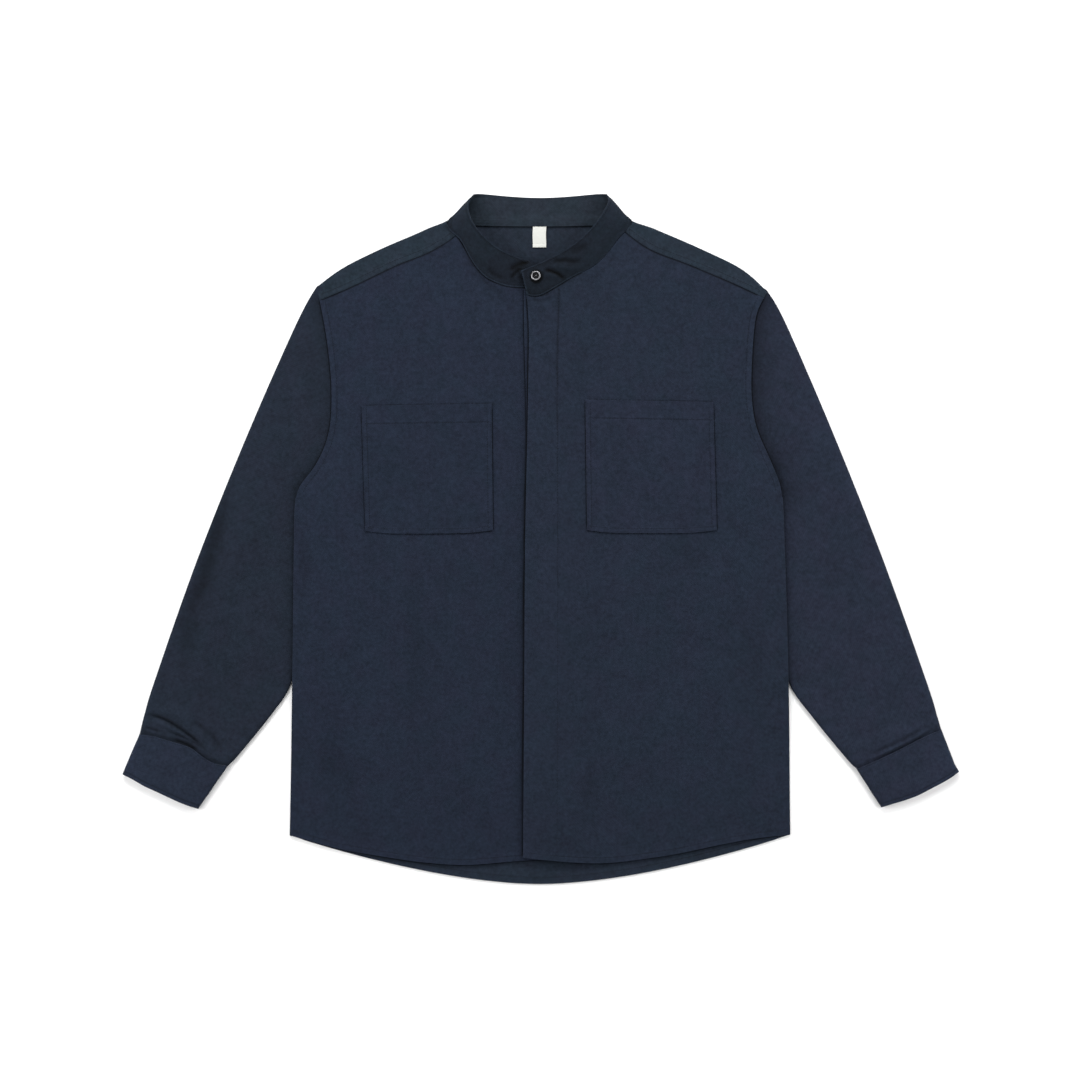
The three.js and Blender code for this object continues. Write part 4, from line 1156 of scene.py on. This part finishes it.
bandRuns = {
    "rimLeft": rimRun(collarBand, lambda x, y, z: x > -22 and z > 14.5 and y > 306.2),
    "rimRight": rimRun(collarBand, lambda x, y, z: x < -14 and z > 11.6 and y > 315),
    "seamRight": rimRun(collarBand, lambda x, y, z: x < -16 and 5.5 < z < 8 and y < 357),
    "seamLeft": rimRun(collarBand, lambda x, y, z: x > -16 and 5.5 < z < 11.4 and y < 358
                       and (z > 9.5 or x > 50) and (x > 21 or y < 291)),
    "tabEnd": rimRun(collarBand, lambda x, y, z: -22 < x < -14 and z > 9.8 and y < 308)}
rims = {name: p[run] for name, run in bandRuns.items()}
close, bandPaintedShading = np.zeros(len(p)), np.zeros(len(p))
for name, (offset, show, within) in band["stitches"].items():
    away = toPath(p, respace(rims[name], 80))[0]
    close = np.maximum(close, 9 + show - np.abs(away - offset))
    p[:, 2] += band["rimRise"] * hump(away, 1.2, 1.4) - band["groove"] * hump(away, offset, 0.9)
    # a painted highlight along each rim and painted shade along its stitches
    bandPaintedShading -= 0.3 * hump(away, 0.8, 0.9) - 0.12 * hump(away, 3.0, 1.2)
    stitchLines.append((collarBand, shifted(rims[name], offset, within)))
frontStretch = step(p[:, 2], 6.5, 10)
backSeam = rimRun(collarBand, lambda x, y, z: z < 3.4 and y < 366 and abs(x) < 104)
nearBack = toPath(p, respace(p[backSeam], 60))[0]
p[:, 2] += band["seat"] * (1 - step(nearBack, 2.5, 12)) * (p[:, 2] < 4.5)
p[:, 1] -= band["drawnDown"] * (1 - step(nearBack, 0, 6)) * (p[:, 2] < 5)
turn = band["turn"] * step(np.abs(p[:, 0]), 88, 100) * (1 - step(p[:, 1], 364, 374))
p[:, 0] += np.sign(p[:, 0]) * turn
p[:, 1] -= turn
height, paintedShading = folds(p, bandCreases)
p[:, 2] += frontStretch * height
# painted shade in the creases and over the front middle of the band
bandPaintedShading += frontStretch * (1.35 * paintedShading + 0.34 * hump(p[:, 0], -5, 70) * (p[:, 2] > 6))
low = p[:, 2] < 9
# painted shade in the back stretch's corners, and painted shade lines for its folds
bandPaintedShading += 0.16 * low * (p[:, 1] > 352) * step(np.abs(p[:, 0]), 48, 84)
for rise in band["rings"]:
    bandPaintedShading += 0.22 * hump(nearBack, rise, 0.8) * low * step(-p[:, 0], 36, 46)
tabEdge = curveThrough(band["tabEdge"])
away, flank, along = toPath(p, tabEdge)
beside = (flank == sideOf((-60, 292), tabEdge)) * (along > 0)
# painted shadow on the band where the tab lies over it, and a painted highlight along the tab's edge
bandPaintedShading += 0.5 * beside * np.exp(-away / 1.6) - 0.2 * (1 - beside) * hump(away, 0.8, 0.8)
# painted shadow round the button
buttonAway = np.hypot(p[:, 0] + 4.1, p[:, 1] - 299.9)
bandPaintedShading += 0.55 * (1 - step(buttonAway, 6.6, 9.2)) * (p[:, 2] > 9)
p[:, 2] += band["wave"] * wander(p, (22, 22), 71)
setPoints(collarBand, p)
giveValue(collarBand, "stitch", close)
giveValue(collarBand, "paintedShading", bandPaintedShading)
sewn(collarBand, "collar_band", cloths["collarCloth"], band["ply"], 0.45)
paintFaces(collarBand, cloths["bandInsideCloth"], lambda x, y, z: z < 9 and y > 352 and abs(x) < 84)
# painted shade on the fronts and yoke beside the band's seams
overlaps.append((frontRight, rims["seamRight"], (0, 340), -0.4, 0.06, 10))
overlaps.append((frontLeft, rims["seamLeft"], (0, 340), -0.4, 0.15, 15))
overlaps.append((yokePanel, p[backSeam], (0, 380), 0, 0.1, 3))
print("collar band made")

# collar button: a satin nickel ring round a dark recess
button = {"place": (-4.7, 300.5), "above": 0.25, "tilt": (-7, -6), "turns": 64,
          # the half outlines, in rows of radius and height
          "ring": [(4.9, 0.0), (5.4, 0.1), (5.7, 0.5), (5.7, 1.0), (5.55, 1.45), (5.3, 1.8), (5.0, 2.0),
                   (4.7, 2.08), (4.3, 2.05), (4.05, 1.9), (3.9, 1.5), (3.85, 0.8), (3.9, 0.3), (4.9, 0.0)],
          "recess": [(3.95, 0.5), (3.95, 0.75), (3.0, 0.7), (1.6, 0.75), (0.9, 0.8)],
          "stud": [(0.6, 0.6), (0.6, 0.9), (0.5, 1.05), (0.35, 1.15), (0.15, 1.2)]}


def plainMaterial(name, levels, rough, metallic=0.0, specular=0.5, scratch=0.0):
    n = Nodes(name)
    wear = n.noise(n.add("TexCoord").outputs["Object"], 900, 3.0, 0.6)
    base = [linear(level) for level in levels]
    n.surface(n.mix(wear, tint(base, 0.85), tint(base, 1.12)),
              n.spread(wear, 0.3, 0.7, rough - 0.08, rough + 0.08), specular, {"Metallic": metallic})
    if scratch:
        n.relief(wear, scratch, 0.0001)
    return n.material


nickel = plainMaterial("satinNickel", (134, 134, 137), 0.4, metallic=1.0, scratch=0.15)
recessDark = plainMaterial("darkRecess", (12, 12, 14), 0.7, specular=0.1)


def turnedPiece(name, rows, metal):
    # turns a half outline of (radius, height) rows round the button's axis
    radius, height = rows[0]
    bpy.ops.mesh.primitive_circle_add(
        vertices=button["turns"], radius=radius * mm, location=(0, 0, height * mm))
    piece = bpy.context.active_object
    piece.name = piece.data.name = name
    bpy.ops.object.transform_apply(location=True)
    editing(piece, "EDGE", "SELECT")
    for newRadius, newHeight in rows[1:]:
        rise = (0, 0, (newHeight - height) * mm)
        bpy.ops.mesh.extrude_region_move(TRANSFORM_OT_translate={"value": rise})
        share = newRadius / radius
        bpy.ops.transform.resize(value=(share, share, 1), center_override=(0, 0, 0))
        radius, height = newRadius, newHeight
    bpy.ops.mesh.select_all(action="SELECT")
    bpy.ops.mesh.remove_doubles(threshold=0.002 * mm)
    bpy.ops.mesh.fill_holes(sides=0)
    bpy.ops.mesh.normals_make_consistent(inside=False)
    done()
    piece.data.materials.append(metal)
    return piece


collarButton = turnedPiece("collarButton", button["ring"], nickel)
buttonRecess = turnedPiece("buttonRecess", button["recess"], recessDark)
buttonStud = turnedPiece("buttonStud", button["stud"], nickel)
tiltX, tiltY = [Matrix.Rotation(math.radians(angle), 4, axis) for angle, axis in zip(button["tilt"], "XY")]
base = heightOn(treeOf(collarBand), *button["place"]) + button["above"]
put = Matrix.Translation(Vector((*button["place"], base)) * mm) @ tiltX @ tiltY
for piece in (collarButton, buttonRecess, buttonStud):
    piece.data.transform(put)
    only(piece)
    bpy.ops.object.shade_smooth_by_angle(angle=math.radians(40))
    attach(piece, "root")
    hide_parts("collar_button")
print("button made")

# neck label, left bare
label = {"ply": 0.5, "fold": 3.0, "middle": -0.7, "width": 15.4, "bottom": 334.5, "length": 26.9,
         "height": 2.3, "bow": 0.5, "topDrop": 0.7, "foldRise": 0.35, "wave": 0.12, "sway": 0.15,
         "levels": (188, 189, 184), "ribs": 950, "fine": 700}


def tapeMaterial():
    n = Nodes("labelTape")
    place = n.add("TexCoord").outputs["Object"]
    ribs, fine = n.waves(place, label["ribs"], "Y"), n.waves(place, label["fine"], "X")
    shade = n.total((ribs, 0.5), (n.noise(place, 250, 2.0), 0.5))
    base = [linear(level) for level in label["levels"]]
    n.surface(n.mix(shade, tint(base, 0.95), tint(base, 1.03)), 0.75, 0.2)
    n.relief(n.math("ADD", ribs, n.math("MULTIPLY", fine, 0.4)), 0.4, 0.00003)
    return n.material


bpy.ops.mesh.primitive_grid_add(x_subdivisions=34, y_subdivisions=60, size=1)
neckLabel = bpy.context.active_object
neckLabel.name = neckLabel.data.name = "neckLabel"
p = pointsOf(neckLabel) * mm + 0.5
u, v = p[:, 0].copy(), p[:, 1].copy()
p[:, 0] = label["middle"] + (u - 0.5) * label["width"] + label["sway"] * np.sin(9 * v)
p[:, 1] = label["bottom"] + v * label["length"]
p[:, 2] = label["height"] + label["bow"] * np.sin(math.pi * v) - label["topDrop"] * step(v, 0.92, 1)
fromFold = p[:, 1] - label["bottom"] - label["fold"]
p[:, 2] += label["foldRise"] * (1 - step(fromFold, -0.5, 0.3))
p[:, 2] += label["wave"] * wander(p, (10, 12), 81)
setPoints(neckLabel, p)
faceUp(neckLabel)
sewn(neckLabel, "neck_label", tapeMaterial(), label["ply"], 0.12)

# painted shade where one edge lies on another cloth
for piece, body, amount, width in ((sleeveRight, "right", 0.3, 9), (sleeveLeft, "left", 0.6, 14)):
    rims = edges["front" + body.title()]
    overlaps.append((piece, rims["arm"], bodyCentre[body], -0.3, amount, width))
    overlaps.append((piece, rims["side"], bodyCentre[body], 0, 0.28, 6))
    overlaps.append((backPanel, rims["hem"], bodyCentre[body], -0.4, 0.1, 2))
for under, edge, covered, shift, amount, width in overlaps:
    p = pointsOf(under)
    value = shadeFrom(p, edge, covered, shift)
    if under.name in ("sleeveRight", "sleeveLeft"):
        value = np.where(p[:, 2] > 2, value, 0)
    giveValue(under, "creviceShade", np.maximum(valuesOf(under, "creviceShade"), value))
    # a soft painted shade, fading over the given width away from the edge
    if amount:
        far = toPath(p, respace(np.array(edge, float)[:, :2], 60))[0]
        giveValue(under, "paintedShading", valuesOf(under, "paintedShading") + amount * np.exp(-far / width) * (p[:, 2] > 1))
print("edges shaded")

# stitches
stitch = {"pitch": 3.1, "size": (2.2, 0.5, 0.34), "lift": 0.02, "steepest": 0.3}
bpy.ops.mesh.primitive_uv_sphere_add(segments=6, ring_count=4, radius=0.5)
oneStitch = bpy.context.active_object
onePoints = np.array([v.co for v in oneStitch.data.vertices])[:, [2, 0, 1]]
oneFaces = [tuple(face.vertices) for face in oneStitch.data.polygons]
bpy.data.objects.remove(oneStitch)


def sewStitches(name, lines):
    points, faces = [], []
    size = Vector(stitch["size"]) * mm
    for piece, line in lines:
        tree = treeOf(piece)
        row = spaced(line, stitch["pitch"], 2)
        for a, b in zip(row, row[1:]):
            hit, normal = dropOnto(tree, *(a + b) / 2)
            if hit is None or normal.z < stitch["steepest"]:
                continue
            run = Vector((*(b - a), 0)).normalized()
            run = (run - normal * run.dot(normal)).normalized()
            across = normal.cross(run)
            first = len(points)
            for q in onePoints:
                points.append(hit + run * q[0] * size.x + across * q[1] * size.y
                              + normal * (q[2] * size.z + stitch["lift"] * mm))
            faces += [tuple(first + v for v in face) for face in oneFaces]
    piece = pieceOf(points, faces, name)
    onAllFaces(piece, bpy.ops.mesh.normals_make_consistent, inside=False)
    bpy.ops.object.shade_smooth()
    piece.data.materials.append(thread)
    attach(piece, "root")
    print(name, len(faces) // len(oneFaces), "stitches")


for piece in {entry[0].name: entry[0] for entry in stitchLines}.values():
    sewStitches(piece.name + "Stitches", [entry for entry in stitchLines if entry[0] is piece])
